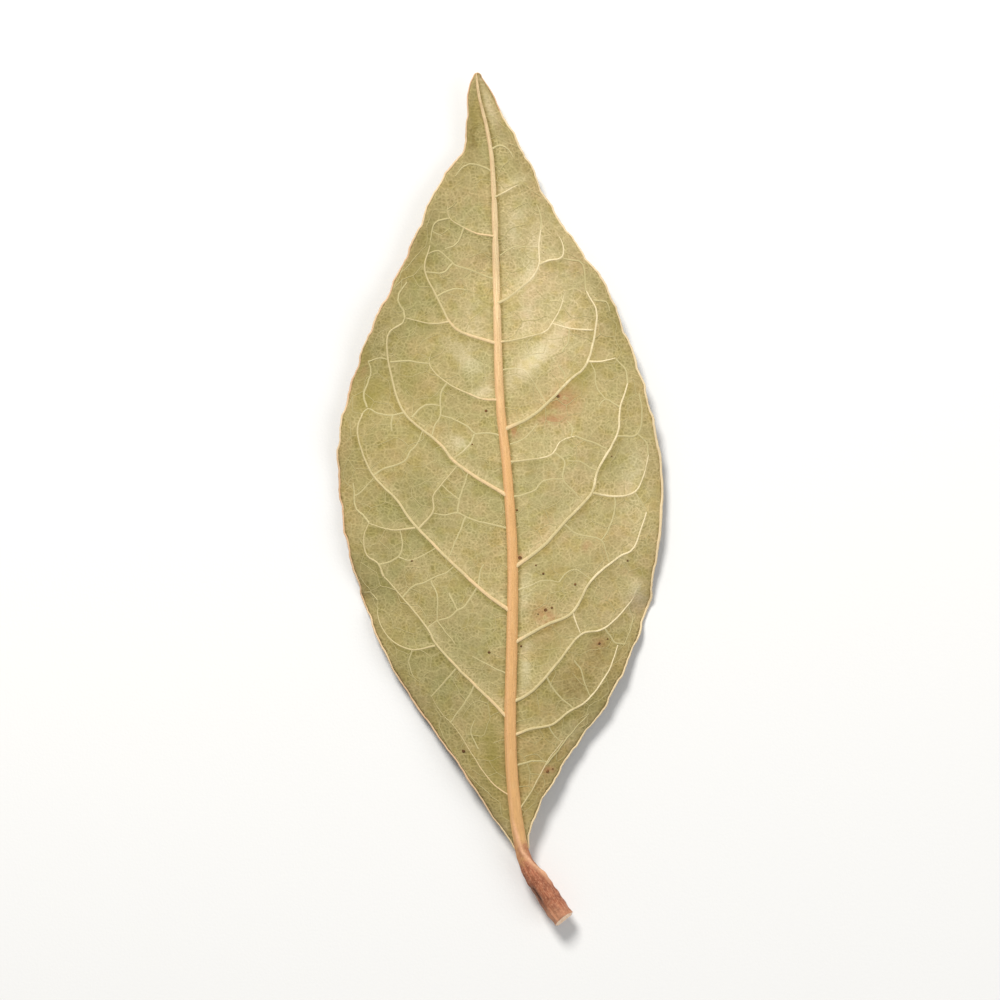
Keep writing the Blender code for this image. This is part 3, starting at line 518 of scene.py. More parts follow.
def blade_level(x, y):
    """Level of the blade's middle layer, for arrays of plan points."""
    x, y = np.asarray(x, dtype=float), np.asarray(y, dtype=float)
    middle = midrib_x(y)
    on_left = x < middle
    half_width = np.where(on_left, middle - left_x(y), right_x(y) - middle)
    across = np.minimum(1.0, np.abs(x - middle) / np.maximum(half_width, 0.05))
    rise = np.where(on_left, left_rise(y), right_rise(y))
    waves = [
        height * np.sin(2 * math.pi * y / length + phase)
        for height, length, phase in (LEFT_WAVE, RIGHT_WAVE)
    ]
    level = midrib_level(y) + rise * across**RISE_POWER + np.where(on_left, *waves) * across**3
    for centre_x, centre_y, top, *oval in PUCKERS:
        level = level + top * oval_fading(x, y, centre_x, centre_y, *oval)
    for rest_x, rest_y, depth, radius in [MIDRIB_REST, *MARGIN_RESTS]:
        level = level - depth * np.exp(-((x - rest_x) ** 2 + (y - rest_y) ** 2) / radius**2)
    return np.maximum(REST_LEVEL, level)


def frame_shift():
    """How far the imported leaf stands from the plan's own zero, from its box."""
    low, high = (np.array(corner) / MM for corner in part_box(NODE))
    ys = np.linspace(*WIDEST_BETWEEN, 500)
    middle = (left_x(ys).min() + right_x(ys).max()) / 2
    return np.array([(low[0] + high[0]) / 2 - middle, high[1] - MIDRIB[-1][1], 0.0])


SHIFT = frame_shift()


def placed(points):
    """Plan points with levels, in millimetres, as metres in the frame."""
    return (np.asarray(points, dtype=float) + SHIFT) * MM


def on_blade(points):
    """Plan points given the level of the blade's middle layer, placed in the frame."""
    points = np.asarray(points, dtype=float)
    return placed(np.column_stack([points[:, :2], blade_level(points[:, 0], points[:, 1])]))


def inside_blade(points, gap):
    """Which plan points lie inside both margins, and clear of them by a gap."""
    x, y = points.T
    return (x > left_x(y) + gap) & (x < right_x(y) - gap)


def nearest(points, others):
    """For each plan point, how far the nearest of the others is and which one it is."""
    tree = KDTree(len(others))
    for i, (x, y) in enumerate(np.asarray(others)[:, :2]):
        tree.insert((x, y, 0.0), i)
    tree.balance()
    found = [tree.find((x, y, 0.0)) for x, y in np.asarray(points)[:, :2]]
    return np.array([hit[2] for hit in found]), np.array([hit[1] for hit in found])


def run_along(points):
    """Distance of each point from the first, along their line."""
    return np.concatenate([[0.0], np.cumsum(np.linalg.norm(np.diff(points, axis=0), axis=1))])


def margin_ring(step):
    """Points round the blade, anticlockwise from its base, with the margin's waves and crinkles."""
    ring = smooth_course(RIGHT_MARGIN + TIP + LEFT_MARGIN[::-1], step)
    x, y = ring.T
    tangent = np.roll(ring, -1, axis=0) - np.roll(ring, 1, axis=0)
    outwards = np.column_stack([tangent[:, 1], -tangent[:, 0]])
    outwards /= np.linalg.norm(outwards, axis=1)[:, None]
    crinkle = MARGIN_RIPPLE * np.sin(2 * math.pi * y / MARGIN_RIPPLE_LENGTH)
    run = run_along(ring)
    for height, length, phase in MARGIN_CRINKLES:
        crinkle = crinkle + height * np.sin(2 * math.pi * run / length + phase + np.sin(run * 0.7))
    calm = 1 - CALM_RIGHT * np.exp(-((y / CALM_RIGHT_REACH) ** 4)) * (x > 0)
    low = np.clip((CALM_LEFT_FROM - y) / CALM_LEFT_OVER, 0, 1)
    calm = calm - CALM_LEFT * low * (x < midrib_x(y))
    crinkle = crinkle * calm * np.clip((TIP[1][1] - y) / CALM_TIP_OVER, 0.1, 1.0)
    return ring + outwards * crinkle[:, None]


# Node trees


class Wiring:
    """Adds nodes to a tree. An input goes by name or number, and is a value or a node's output."""

    def __init__(self, tree):
        self.tree = tree

    def node(self, kind, inputs=None, **settings):
        made = self.tree.nodes.new(kind)
        for name, value in settings.items():
            setattr(made, name, value)
        for key, value in (inputs or {}).items():
            if isinstance(value, bpy.types.NodeSocket):
                self.tree.links.new(value, made.inputs[key])
            else:
                made.inputs[key].default_value = value
        return made

    def maths(self, operation, *values):
        return self.node("ShaderNodeMath", dict(enumerate(values)), operation=operation).outputs[0]

    def times(self, first, second):
        return self.maths("MULTIPLY", first, second)

    def total(self, *shares):
        """The sum of values, each times its own share."""
        first, *others = (self.times(value, share) for value, share in shares)
        for other in others:
            first = self.maths("ADD", first, other)
        return first

    def vector(self, operation, *values):
        return self.node("ShaderNodeVectorMath", dict(enumerate(values)), operation=operation).outputs[0]

    def scaled(self, vector, factor):
        made = self.node("ShaderNodeVectorMath", {0: vector, "Scale": factor}, operation="SCALE")
        return made.outputs[0]

    def noise(self, vector, scale, detail=2.0, roughness=0.5, output="Fac"):
        inputs = {"Vector": vector, "Scale": scale, "Detail": detail, "Roughness": roughness}
        return self.node("ShaderNodeTexNoise", inputs).outputs[output]

    def stray(self, vector, scale, amount, detail=2.0):
        """An uneven offset, up to half the amount along each axis."""
        wobble = self.noise(vector, scale, detail, output="Color")
        return self.scaled(self.vector("SUBTRACT", wobble, (0.5, 0.5, 0.5)), amount)

    def cells(self, vector, scale, feature="DISTANCE_TO_EDGE", output="Distance"):
        inputs = {"Vector": vector, "Scale": scale}
        made = self.node("ShaderNodeTexVoronoi", inputs, voronoi_dimensions="2D", feature=feature)
        return made.outputs[output]

    def ramp(self, value, low, high, start=0.0, end=1.0, curve="SMOOTHSTEP"):
        inputs = {"Value": value, "From Min": low, "From Max": high, "To Min": start, "To Max": end}
        return self.node("ShaderNodeMapRange", inputs, interpolation_type=curve).outputs["Result"]

    def blend(self, cover, first, second, mode="MIX"):
        inputs = {0: cover, 6: first, 7: second}
        return self.node("ShaderNodeMix", inputs, data_type="RGBA", blend_type=mode).outputs[2]

    def layers(self, base, *rows):
        """A colour under layers: each is its cover, its colour and, where it isn't plain, how it mixes."""
        for cover, colour, *mode in rows:
            base = self.blend(cover, base, (*colour, 1), *mode)
        return base

    def attribute(self, name, share=None):
        """A mesh attribute, or a share of it, in a material."""
        value = self.node("ShaderNodeAttribute", attribute_name=name).outputs["Fac"]
        return value if share is None else self.times(value, share)

    def stored(self, name):
        """A mesh attribute, in a geometry tree."""
        made = self.node("GeometryNodeInputNamedAttribute", {"Name": name}, data_type="FLOAT")
        return made.outputs["Attribute"]

    def plan_place(self):
        """Where a point is, seen from above, in a geometry tree."""
        place = self.node("GeometryNodeInputPosition").outputs[0]
        return self.vector("MULTIPLY", place, (1.0, 1.0, 0.0))


def geometry_tree(name, **sockets):
    """A geometry tree with named inputs, as (tree, its wiring, its input node's outputs)."""
    tree = bpy.data.node_groups.new(name, "GeometryNodeTree")
    tree.interface.new_socket("Geometry", in_out="INPUT", socket_type="NodeSocketGeometry")
    for label, kind in sockets.items():
        label = label.replace("_", " ").title()
        tree.interface.new_socket(label, in_out="INPUT", socket_type="NodeSocket" + kind)
    tree.interface.new_socket("Geometry", in_out="OUTPUT", socket_type="NodeSocketGeometry")
    wiring = Wiring(tree)
    return tree, wiring, wiring.node("NodeGroupInput").outputs


def finish_tree(w, geometry, material):
    """Ends a tree: instances made real, shaded smooth, given the material."""
    real = w.node("GeometryNodeRealizeInstances", {"Geometry": geometry}).outputs[0]
    smooth = w.node("GeometryNodeSetShadeSmooth", {"Geometry": real}).outputs[0]
    coated = w.node("GeometryNodeSetMaterial", {"Geometry": smooth, "Material": material})
    w.node("NodeGroupOutput", {"Geometry": coated.outputs[0]})


def grow(piece, tree, **values):
    """Runs a geometry tree on a piece and keeps the result as its plain mesh."""
    modifier = piece.modifiers.new(tree.name, "NODES")
    modifier.node_group = tree
    wanted = {name.replace("_", " ").title(): value for name, value in values.items()}
    for item in tree.interface.items_tree:
        if item.item_type == "SOCKET" and item.in_out == "INPUT" and item.name in wanted:
            modifier[item.identifier] = wanted[item.name]
    piece.update_tag()
    bpy.context.view_layer.update()
    evaluated = piece.evaluated_get(bpy.context.evaluated_depsgraph_get())
    mesh = bpy.data.meshes.new_from_object(evaluated)
    if not mesh.polygons:
        raise RuntimeError(f"{tree.name} made no faces for {piece.name}")
    piece.modifiers.clear()
    mesh.name = piece.name
    piece.data = mesh
    return piece


def new_piece(name, points, edges=(), faces=(), **attributes):
    """A mesh object from arrays, with one number stored at each point for every attribute."""
    mesh = bpy.data.meshes.new(name)
    mesh.from_pydata([tuple(point) for point in points], list(edges), list(faces))
    for label, values in attributes.items():
        layer = mesh.attributes.new(label, "FLOAT", "POINT")
        layer.data.foreach_set("value", np.asarray(values, dtype=np.float32))
    piece = bpy.data.objects.new(name, mesh)
    bpy.context.scene.collection.objects.link(piece)
    return piece


def read_all(items, name, width=1, kind=np.float64):
    """One property of every item of a mesh's list, as an array."""
    values = np.empty(len(items) * width, dtype=kind)
    items.foreach_get(name, values)
    return values


def bake_map(piece, places):
    """Stores the map that finishes are baked on, from one place for each corner of a face."""
    layer = piece.data.uv_layers.new(name="OFBake")
    layer.data.foreach_set("uv", np.asarray(places, dtype=np.float32).ravel())


def plan_map(piece):
    """Maps a piece as seen from above. The blade's two faces lie side by side."""
    mesh = piece.data
    points = read_all(mesh.vertices, "co", 3).reshape(-1, 3)
    plan = points[read_all(mesh.loops, "vertex_index", kind=np.int64)][:, :2]
    low, high = plan.min(axis=0), plan.max(axis=0)
    share = MAP_EDGE + (1 - 2 * MAP_EDGE) * (plan - low) / (high - low)
    if piece.name == "blade":
        sides = read_all(mesh.attributes["side"].data, "value", kind=np.float32)
        corners = read_all(mesh.polygons, "loop_total", kind=np.int64)
        share[:, 0] = 0.5 * (share[:, 0] + (np.repeat(sides, corners) > 0))
    bake_map(piece, share)


def hand_over(piece):
    """Gives a finished piece to the frame."""
    if "OFBake" not in piece.data.uv_layers:
        plan_map(piece)
    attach(piece, BODY)
    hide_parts(NODE)


# Materials. Sizes of noises and cells are how many there are in a millimetre.


def new_material(name, specular):
    """A material, its wiring, its shader, and the place on the leaf in millimetres."""
    material = bpy.data.materials.new(name)
    material.use_nodes = True
    shader = material.node_tree.nodes["Principled BSDF"]
    shader.inputs["Specular IOR Level"].default_value = specular
    w = Wiring(material.node_tree)
    place = w.node("ShaderNodeTexCoord").outputs["Object"]
    return material, w, shader, w.scaled(place, 1 / MM)


def wire_shader(w, shader, colour, roughness, height, depth):
    """Links a finish to its shader.

    The roughness is a pattern and the two values it runs between, and the bump's depth is in millimetres.
    """
    pattern, smoothest, roughest = roughness
    links = w.tree.links
    links.new(colour, shader.inputs["Base Color"])
    links.new(w.ramp(pattern, 0.3, 0.7, smoothest, roughest, "LINEAR"), shader.inputs["Roughness"])
    bump = w.node("ShaderNodeBump", {"Height": height, "Distance": depth * MM, "Strength": 1.0})
    links.new(bump.outputs["Normal"], shader.inputs["Normal"])


def underside_finish(settings):
    """Matt sage to khaki, with the finest net of veinlets and stains; paler puckers and fields that are
    partly painted light, and painted light and shade beside the veins and the midrib.
    """
    material, w, shader, place = new_material("dried_underside", specular=0.25)
    bent = w.vector("ADD", place, w.stray(place, 0.9, 0.5))
    to_edge = w.cells(bent, VEINLET_CELLS)
    cell_colour = w.cells(bent, VEINLET_CELLS, "F1", "Color")
    own_tone = w.node("ShaderNodeSeparateColor", {0: cell_colour}).outputs[0]
    veinlets = w.ramp(to_edge, 0.0, 0.30, 1.0, 0.0)
    hollows = w.times(w.ramp(to_edge, 0.12, 0.40), w.ramp(own_tone, 0.0, 0.7))
    wider = w.ramp(w.cells(bent, 1.0), 0.0, 0.15, 1.0, 0.0)
    pits = w.noise(place, 3.4, roughness=0.6)
    grain = w.noise(place, 5.2, roughness=0.7)
    hatch = w.noise(w.vector("DIVIDE", bent, HATCH_SIZE), 1.0)
    combed = w.times(w.attribute("beside_midrib"), w.ramp(hatch, 0.42, 0.62))
    plain = w.ramp(w.attribute("pale"), 0.0, 0.8, 1.0, 0.2)
    strength = w.times(w.ramp(w.noise(place, 0.5), 0.35, 0.65, 0.4, 1.0), plain)
    greener = w.ramp(w.noise(place, 0.42), 0.40, 0.56, 1.0, 0.0)
    rosy = w.ramp(w.noise(w.vector("ADD", place, (31.0, 7.0, 0.0)), 0.38, detail=3.0), 0.50, 0.66)
    olive = w.ramp(w.noise(w.vector("ADD", place, (3.0, 41.0, 0.0)), 0.75), 0.48, 0.68)
    blotch = w.times(w.attribute("dark"), w.ramp(pits, 0.30, 0.58))
    rust = w.times(w.attribute("rust"), w.ramp(w.noise(place, 1.6, detail=3.0), 0.25, 0.52))

    broad = w.ramp(w.noise(place, 0.085), 0.38, 0.62)
    base = w.layers(
        w.blend(broad, (*settings.sage_colour, 1), (*settings.khaki_colour, 1)),
        # paler fields, partly painted light
        (w.attribute("paler", 0.75), PALER_AND_LIT_FIELD),
        (w.attribute("browner", 0.75), BROWNER_FIELD),
        # the puckers' patches, partly painted highlight
        (w.attribute("pale", 0.72), PUCKER_PALE_AND_HIGHLIGHT),
        (w.times(greener, 0.6), GREENER_TINT, "MULTIPLY"),
        (w.times(rosy, 0.4), ROSY_TINT, "MULTIPLY"),
        (w.times(olive, 0.8), OLIVE_TINT, "MULTIPLY"),
        (w.attribute("browned", 0.3), BROWNED_MARGIN),
        # painted highlight on each stout vein's tip side, painted shade on its base side
        (w.attribute("above_vein", 0.3), LIT_VEIN_SIDE),
        (w.attribute("below_vein"), SHADED_VEIN_TINT, "MULTIPLY"),
        # painted shade where the blade meets the midrib, stronger on its right
        (w.attribute("midrib_foot"), MIDRIB_SHADE_TINT, "MULTIPLY"),
        (w.times(hollows, strength), HOLLOW_TINT, "MULTIPLY"),
        (w.ramp(pits, 0.46, 0.30, 0.0, 0.3), PIT_TINT, "MULTIPLY"),
        (w.times(veinlets, strength), VEINLET_TINT, "MULTIPLY"),
        (w.times(wider, plain), WIDER_TINT, "MULTIPLY"),
        (combed, COMBED_TINT, "MULTIPLY"),
        (w.ramp(grain, 0.42, 0.62, 0.0, 0.6), GRAIN_TINT, "MULTIPLY"),
        (blotch, BLOTCH_TINT, "MULTIPLY"),
        (w.attribute("olive", 0.7), OLIVE_BLOTCH),
        (w.times(rust, 0.95), RUST),
    )
    height = w.total(
        (veinlets, 0.6), (pits, 0.9), (hollows, -0.4), (wider, 0.5), (grain, 0.3), (combed, 0.4)
    )
    wire_shader(w, shader, base, (grain, 0.62, 0.82), height, 0.017)
    return material


def upper_face_finish(settings):
    """The leaf's glossier upper face, which lies underneath: brownish olive with sunken veinlets."""
    material, w, shader, place = new_material("dried_upper_face", specular=0.5)
    bent = w.vector("ADD", place, w.stray(place, 0.9, 0.5))
    veinlets = w.ramp(w.cells(bent, 1.5), 0.0, 0.12, 1.0, 0.0)
    mottle = w.noise(place, 2.6, detail=3.0, roughness=0.6)
    broad = w.ramp(w.noise(place, 0.13, detail=3.0), 0.35, 0.65)
    base = w.layers(
        w.blend(broad, (*settings.upper_face_colour, 1), (*UPPER_FACE_YELLOWER, 1)),
        (w.ramp(mottle, 0.4, 0.66, 0.0, 0.55), UPPER_FACE_MOTTLE),
        (w.times(veinlets, 0.3), UPPER_FACE_VEINLET),
        # painted highlight on the tip side of each stout vein
        (w.attribute("above_vein", 0.35), UPPER_FACE_VEIN_HIGHLIGHT),
        (w.attribute("browned", 0.6), UPPER_FACE_MARGIN),
    )
    wire_shader(w, shader, base, (mottle, 0.36, 0.52), w.total((mottle, 0.6), (veinlets, -0.4)), 0.035)
    return material


def vein_finish(name, inner, outer, cream=None, depth=0.02):
    """Veins: tan where they leave the midrib, paler further out, and cream past a run of 1."""
    material, w, shader, place = new_material(name, specular=0.3)
    blotches = w.noise(place, 0.8, detail=3.0, roughness=0.6)
    fine = w.noise(place, 7.0, roughness=0.6)
    run = w.maths("ADD", w.attribute("run"), w.ramp(blotches, 0.3, 0.7, -0.2, 0.2))
    base = w.layers(
        w.blend(w.ramp(run, 0.05, 0.6), (*inner, 1), (*outer, 1)),
        (w.ramp(run, 1.0, 1.5), cream or outer),
        # veins on the puckers' patches are lightened too: partly painted highlight
        (w.attribute("pale", 0.65), VEIN_PALE_AND_HIGHLIGHT),
        (w.ramp(fine, 0.45, 0.8, 0.0, 0.35), VEIN_FLECK),
    )
    wire_shader(w, shader, base, (fine, 0.5, 0.68), fine, depth)
    return material


def midrib_finish(settings):
    """Midrib in tan straw that runs down into the pinkish brown stalk, with long fine fibres."""
    material, w, shader, place = new_material("midrib_and_stalk", specular=0.35)
    along = w.node("ShaderNodeSeparateXYZ", {0: place}).outputs["Y"]
    lengthwise = w.node("ShaderNodeAttribute", attribute_name="grain").outputs["Vector"]
    fibres = w.noise(w.vector("DIVIDE", lengthwise, FIBRE_SIZE), 1.0, detail=3.0, roughness=0.6)
    flecks = w.noise(place, 5.0, roughness=0.6)
    blotches = w.noise(place, 0.9, detail=3.0, roughness=0.6)
    straw = w.layers(
        w.blend(w.ramp(along, 1.0, 26.0), (*settings.midrib_colour, 1), (*STRAW_BY_TIP, 1)),
        (w.ramp(fibres, 0.42, 0.62, 0.0, 0.45), STRAW_DARK_FIBRE),
        (w.ramp(fibres, 0.40, 0.30, 0.0, 0.5), STRAW_LIGHT_FIBRE),
        (w.ramp(flecks, 0.62, 0.75, 0.0, 0.6), STRAW_FLECK),
    )
    bark = w.layers(
        w.blend(w.ramp(fibres, 0.35, 0.70), (*settings.stalk_colour, 1), (*BARK_DARK_FIBRE, 1)),
        (w.ramp(flecks, 0.50, 0.66, 0.0, 0.7), BARK_FLECK),
        (w.ramp(blotches, 0.52, 0.66, 0.0, 0.35), BARK_BLOTCH),
        (w.ramp(along, -37.6, -39.6, 0.0, 0.55), BARK_BY_CUT),
    )
    low = w.maths("ADD", along, w.ramp(blotches, 0.3, 0.7, -1.2, 1.2))
    rings = w.noise(place, 4.5, detail=3.0, roughness=0.6)
    pith = w.blend(w.ramp(rings, 0.4, 0.62), (*PITH, 1), (*PITH_DARKER, 1))
    # painted highlight along the raised ridge on the rod's left flank, broken by flecks
    painted_ridge_highlight = w.times(w.attribute("ridge"), w.ramp(flecks, 0.4, 0.65, 1.0, 0.6))
    base = w.layers(
        w.blend(w.ramp(low, -31.0, -35.0), straw, bark),
        # painted shade in the stalk's groove
        (w.attribute("groove", 0.95), GROOVE_SHADE),
        (painted_ridge_highlight, RIDGE_HIGHLIGHT),
    )
    base = w.blend(w.ramp(w.attribute("cut"), 0.3, 0.7), base, pith)
    wire_shader(w, shader, base, (fibres, 0.46, 0.64), w.total((fibres, 1.0), (flecks, 0.4)), 0.06)
    return material


def rim_finish(settings):
    """The hard margin: cream, flushed with orange in stretches, most on the left."""
    material, w, shader, place = new_material("margin_rim", specular=0.35)
    stretches = w.ramp(w.noise(place, 0.16), 0.35, 0.65, 0.35, 1.0)
    fine = w.noise(place, 2.2, detail=3.0, roughness=0.65)
    base = w.layers(
        w.blend(w.times(w.attribute("run"), stretches), (*settings.margin_colour, 1), (*RIM_FLUSH, 1)),
        (w.ramp(fine, 0.50, 0.68, 0.0, 0.25), RIM_FLECK),
    )
    wire_shader(w, shader, base, (fine, 0.45, 0.65), fine, 0.03)
    return material


def speck_finish():
    """Tiny dark spots of dried leaf mould."""
    material, w, shader, place = new_material("specks", specular=0.1)
    tone = w.noise(place, 6.0)
    base = w.blend(w.ramp(tone, 0.35, 0.65), (*SPECK_DARK, 1), (*SPECK_BROWN, 1))
    wire_shader(w, shader, base, (tone, 0.5, 0.8), tone, 0.02)
    return material


def floor_finish(settings):
    """Pale matt board with the faintest unevenness."""
    material, w, shader, place = new_material("pale_board", specular=0.2)
    tone = w.noise(place, 0.02)
    shade = tuple(FLOOR_SHADE * level for level in settings.floor_colour)
    base = w.blend(tone, (*settings.floor_colour, 1), (*shade, 1))
    wire_shader(w, shader, base, (tone, 0.85, 0.95), w.noise(place, 4.0), 0.01)
    return material


# Blade


def lattice(spacing, gap, seed):
    """Slightly uneven triangular grid of plan points inside the blade."""
    chance = np.random.default_rng(seed)
    row_height = spacing * math.sqrt(3) / 2
    ys = np.arange(LEFT_MARGIN[0][1] + row_height, LEFT_MARGIN[-1][1], row_height)
    rows = []
    for row, y in enumerate(ys):
        x = np.arange(left_x(y) + gap, right_x(y) - gap, spacing) + 0.5 * spacing * (row % 2)
        rows.append(np.column_stack([x, np.full(len(x), y)]))
    points = np.vstack(rows)
    points += chance.uniform(-0.18, 0.18, points.shape) * spacing
    return points[inside_blade(points, gap)]


def oval_cover(points, ovals):
    """How strongly a table of marks covers each plan point."""
    cover = np.zeros(len(points))
    for *oval, strength in ovals:
        cover = np.maximum(cover, strength * oval_fading(points[:, 0], points[:, 1], *oval))
    return cover


def vein_sides(plan):
    """How far each plan point is from a side vein, how stout that is, and on which side the point lies.

    The side is 1 towards the leaf's tip and -1 towards its base.
    """
    courses = [smooth_course(points, VEIN_SAMPLE_STEP) for _, points in VEINS]
    radii = [
        radius * np.linspace(1.0, VEIN_END_RADIUS, len(course))
        for (radius, _), course in zip(VEINS, courses)
    ]
    samples = np.vstack(courses)
    distance, index = nearest(plan, samples)
    side = np.where(plan[:, 1] > samples[index, 1], 1.0, -1.0)
    return distance, np.concatenate(radii)[index] / STOUT_VEIN, side


def sheet(points, ring):
    """Triangles over a ring and the points inside it."""
    plan = [Vector(point) for point in np.vstack([ring, points])]
    rim = [(i, (i + 1) % len(ring)) for i in range(len(ring))]
    made, _, faces, *_ = delaunay_2d_cdt(plan, rim, [], 1, SAME_POINT)
    if len(made) != len(plan):
        raise RuntimeError("the blade's points ran into each other")
    return faces


def blade_relief_tree():
    """Cockles over the whole blade, and dimples on its underside only."""
    tree, w, given = geometry_tree(
        "Blade Relief", cockle_height="Float", cockle_size="Float", dimple_height="Float",
        dimple_size="Float", underside="Material", upper_face="Material",
    )
    flat = w.plan_place()
    cockles = w.noise(flat, w.maths("DIVIDE", 1.0, given["Cockle Size"]), detail=1.5)
    dimples = w.noise(flat, w.maths("DIVIDE", 1.0, given["Dimple Size"]), roughness=0.6)
    cockle = w.times(w.maths("SUBTRACT", cockles, 0.5), given["Cockle Height"])
    dimple = w.times(w.maths("SUBTRACT", dimples, 0.5), given["Dimple Height"])
    lift = w.total((cockle, w.stored("free")), (dimple, w.stored("face_up")))
    offset = w.node("ShaderNodeCombineXYZ", {"Z": lift}).outputs[0]
    moved = w.node("GeometryNodeSetPosition", {"Geometry": given["Geometry"], "Offset": offset})
    smooth = w.node("GeometryNodeSetShadeSmooth", {"Geometry": moved.outputs[0]}).outputs[0]
    real = w.node("GeometryNodeRealizeInstances", {"Geometry": smooth}).outputs[0]
    inputs = {"Geometry": real, "Material": given["Upper Face"]}
    upper = w.node("GeometryNodeSetMaterial", inputs).outputs[0]
    facing_up = w.maths("GREATER_THAN", w.stored("side"), 0.0)
    inputs = {"Geometry": upper, "Selection": facing_up, "Material": given["Underside"]}
    under = w.node("GeometryNodeSetMaterial", inputs).outputs[0]
    w.node("NodeGroupOutput", {"Geometry": under})
    return tree


def build_blade(settings):
    """The blade: a closed sheet, with its two faces joined at the margin."""
    ring = margin_ring(MARGIN_STEP)
    spacing = settings.grain / MM
    top_inner = lattice(spacing, UNDERSIDE_GAP, 11)
    low_inner = lattice(UPPER_FACE_COARSENESS * spacing, UPPER_FACE_GAP, 12)
    top_faces = sheet(top_inner, ring)
    low_faces = sheet(low_inner, ring)
    count = len(ring)
    plan = np.vstack([ring, top_inner, low_inner])
    side = np.concatenate([np.zeros(count), np.ones(len(top_inner)), -np.ones(len(low_inner))])

    by_edge = np.concatenate([np.zeros(count), nearest(plan[count:], margin_ring(0.1))[0]])
    inwards = np.clip(by_edge / EDGE_ROUNDING, 0.0, 1.0)
    rounding = np.sqrt(1 - (1 - inwards) ** 2)
    above, below = settings.thickness_above / MM, settings.thickness_below / MM
    by_vein, stout, vein_side = vein_sides(plan)
    middle = midrib_x(plan[:, 1])
    by_midrib = np.abs(plan[:, 0] - middle)
    foot = by_midrib - midrib_radius(plan[:, 1])
    ridge, ridge_reach = VEIN_RIDGE
    swell, swell_reach = VEIN_SWELL
    rise, rise_reach = MIDRIB_SWELL
    vein_lift = ridge * fading(by_vein, ridge_reach) + swell * stout * fading(by_vein, swell_reach)
    vein_lift = vein_lift + rise * fading(by_midrib, rise_reach)
    level = blade_level(plan[:, 0], plan[:, 1])
    level = level + np.where(side > 0, above * rounding, 0.0) + np.where(side < 0, -below * rounding, 0.0)
    level = level + np.where(side > 0, vein_lift * rounding, 0.0)

    # the margin's points serve both faces, and the lower face is turned to look down
    shift = len(top_inner)
    turned = [[i if i < count else i + shift for i in face[::-1]] for face in low_faces]
    faces = [list(face) for face in top_faces] + turned
    rests = np.array([spot[:2] for spot in [MIDRIB_REST, *MARGIN_RESTS]])
    calm = fading(nearest(plan, rests)[0], REST_CALM_REACH)
    blade = new_piece(
        "blade", placed(np.column_stack([plan, level])), faces=faces,
        face_up=np.clip(side, 0, 1) * rounding,
        free=(1 - calm) * (1 - fading(by_midrib, MIDRIB_CALM_REACH)),
        # painted highlight and painted shade on the two sides of each stout vein
        above_vein=stout * fading(by_vein - 0.40, 0.35) * (vein_side > 0),
        below_vein=stout * fading(by_vein - 0.33, 0.25) * (vein_side < 0),
        # painted shade along the midrib's foot, twice as strong on its right side
        midrib_foot=fading(foot - 0.03, 0.18) * np.where(plan[:, 0] > middle, 1.0, 0.5),
        beside_midrib=fading(foot - 0.4, 1.5),
        browned=fading(by_edge, 1.3) * np.where(plan[:, 0] < 0, 1.0, 0.7),
        **{name: oval_cover(plan, ovals) for name, ovals in MARKS.items()},
    )
    layer = blade.data.attributes.new("side", "FLOAT", "FACE")
    sides = np.repeat([1.0, -1.0], [len(top_faces), len(low_faces)])
    layer.data.foreach_set("value", sides.astype(np.float32))
    grow(
        blade, blade_relief_tree(),
        cockle_height=settings.cockle_height, cockle_size=settings.cockle_size,
        dimple_height=settings.dimple_height, dimple_size=settings.dimple_size,
        underside=underside_finish(settings), upper_face=upper_face_finish(settings),
    )
    blade["margin_points"] = count
    return blade


# Veins


def tube(w, curve, thickness, sides, flatness=1.0):
    """A closed tube along a curve, flattened to a share of its height."""
    upright = w.node("GeometryNodeSetCurveNormal", {"Curve": curve}, mode="Z_UP").outputs[0]
    circle = w.node("GeometryNodeCurvePrimitiveCircle", {"Resolution": sides, "Radius": 1.0}).outputs[0]
    squashed = w.node("ShaderNodeCombineXYZ", {"X": 1.0, "Y": flatness, "Z": 1.0}).outputs[0]
    profile = w.node("GeometryNodeTransform", {"Geometry": circle, "Scale": squashed}).outputs[0]
    inputs = {"Curve": upright, "Profile Curve": profile, "Scale": thickness, "Fill Caps": True}
    return w.node("GeometryNodeCurveToMesh", inputs).outputs[0]


def tubes_on_blade(w, given, mesh, thickness, sides, flatness, lift=0.0, from_below=False):
    """Tubes along a mesh's edges, with a strayed course, laid on the blade from over or under it."""
    lines = w.node("GeometryNodeMeshToCurve", {"Mesh": mesh}).outputs[0]
    inputs = {"Curve": lines, "Length": given["Spacing"]}
    even = w.node("GeometryNodeResampleCurve", inputs, mode="LENGTH").outputs[0]
    flat = w.plan_place()
    stray = w.stray(flat, w.maths("DIVIDE", 1.0, given["Stray Size"]), given["Stray"], detail=1.0)
    strayed = w.vector("ADD", flat, w.vector("MULTIPLY", stray, (1.0, 1.0, 0.0)))
    height, heading = (-RAY_START, 1.0) if from_below else (RAY_START, -1.0)
    ray = w.node("GeometryNodeRaycast", {
        "Target Geometry": w.node("GeometryNodeObjectInfo", {"Object": given["Blade"]}).outputs["Geometry"],
        "Source Position": w.vector("ADD", strayed, (0.0, 0.0, height)),
        "Ray Direction": (0.0, 0.0, heading),
        "Ray Length": RAY_LENGTH,
    }).outputs
    raised = w.node("ShaderNodeCombineXYZ", {"Z": lift}).outputs[0]
    landed = w.vector("ADD", ray["Hit Position"], raised)
    inputs = {"Geometry": even, "Selection": ray["Is Hit"], "Position": landed}
    laid = w.node("GeometryNodeSetPosition", inputs).outputs[0]
    return tube(w, laid, thickness, sides, flatness)


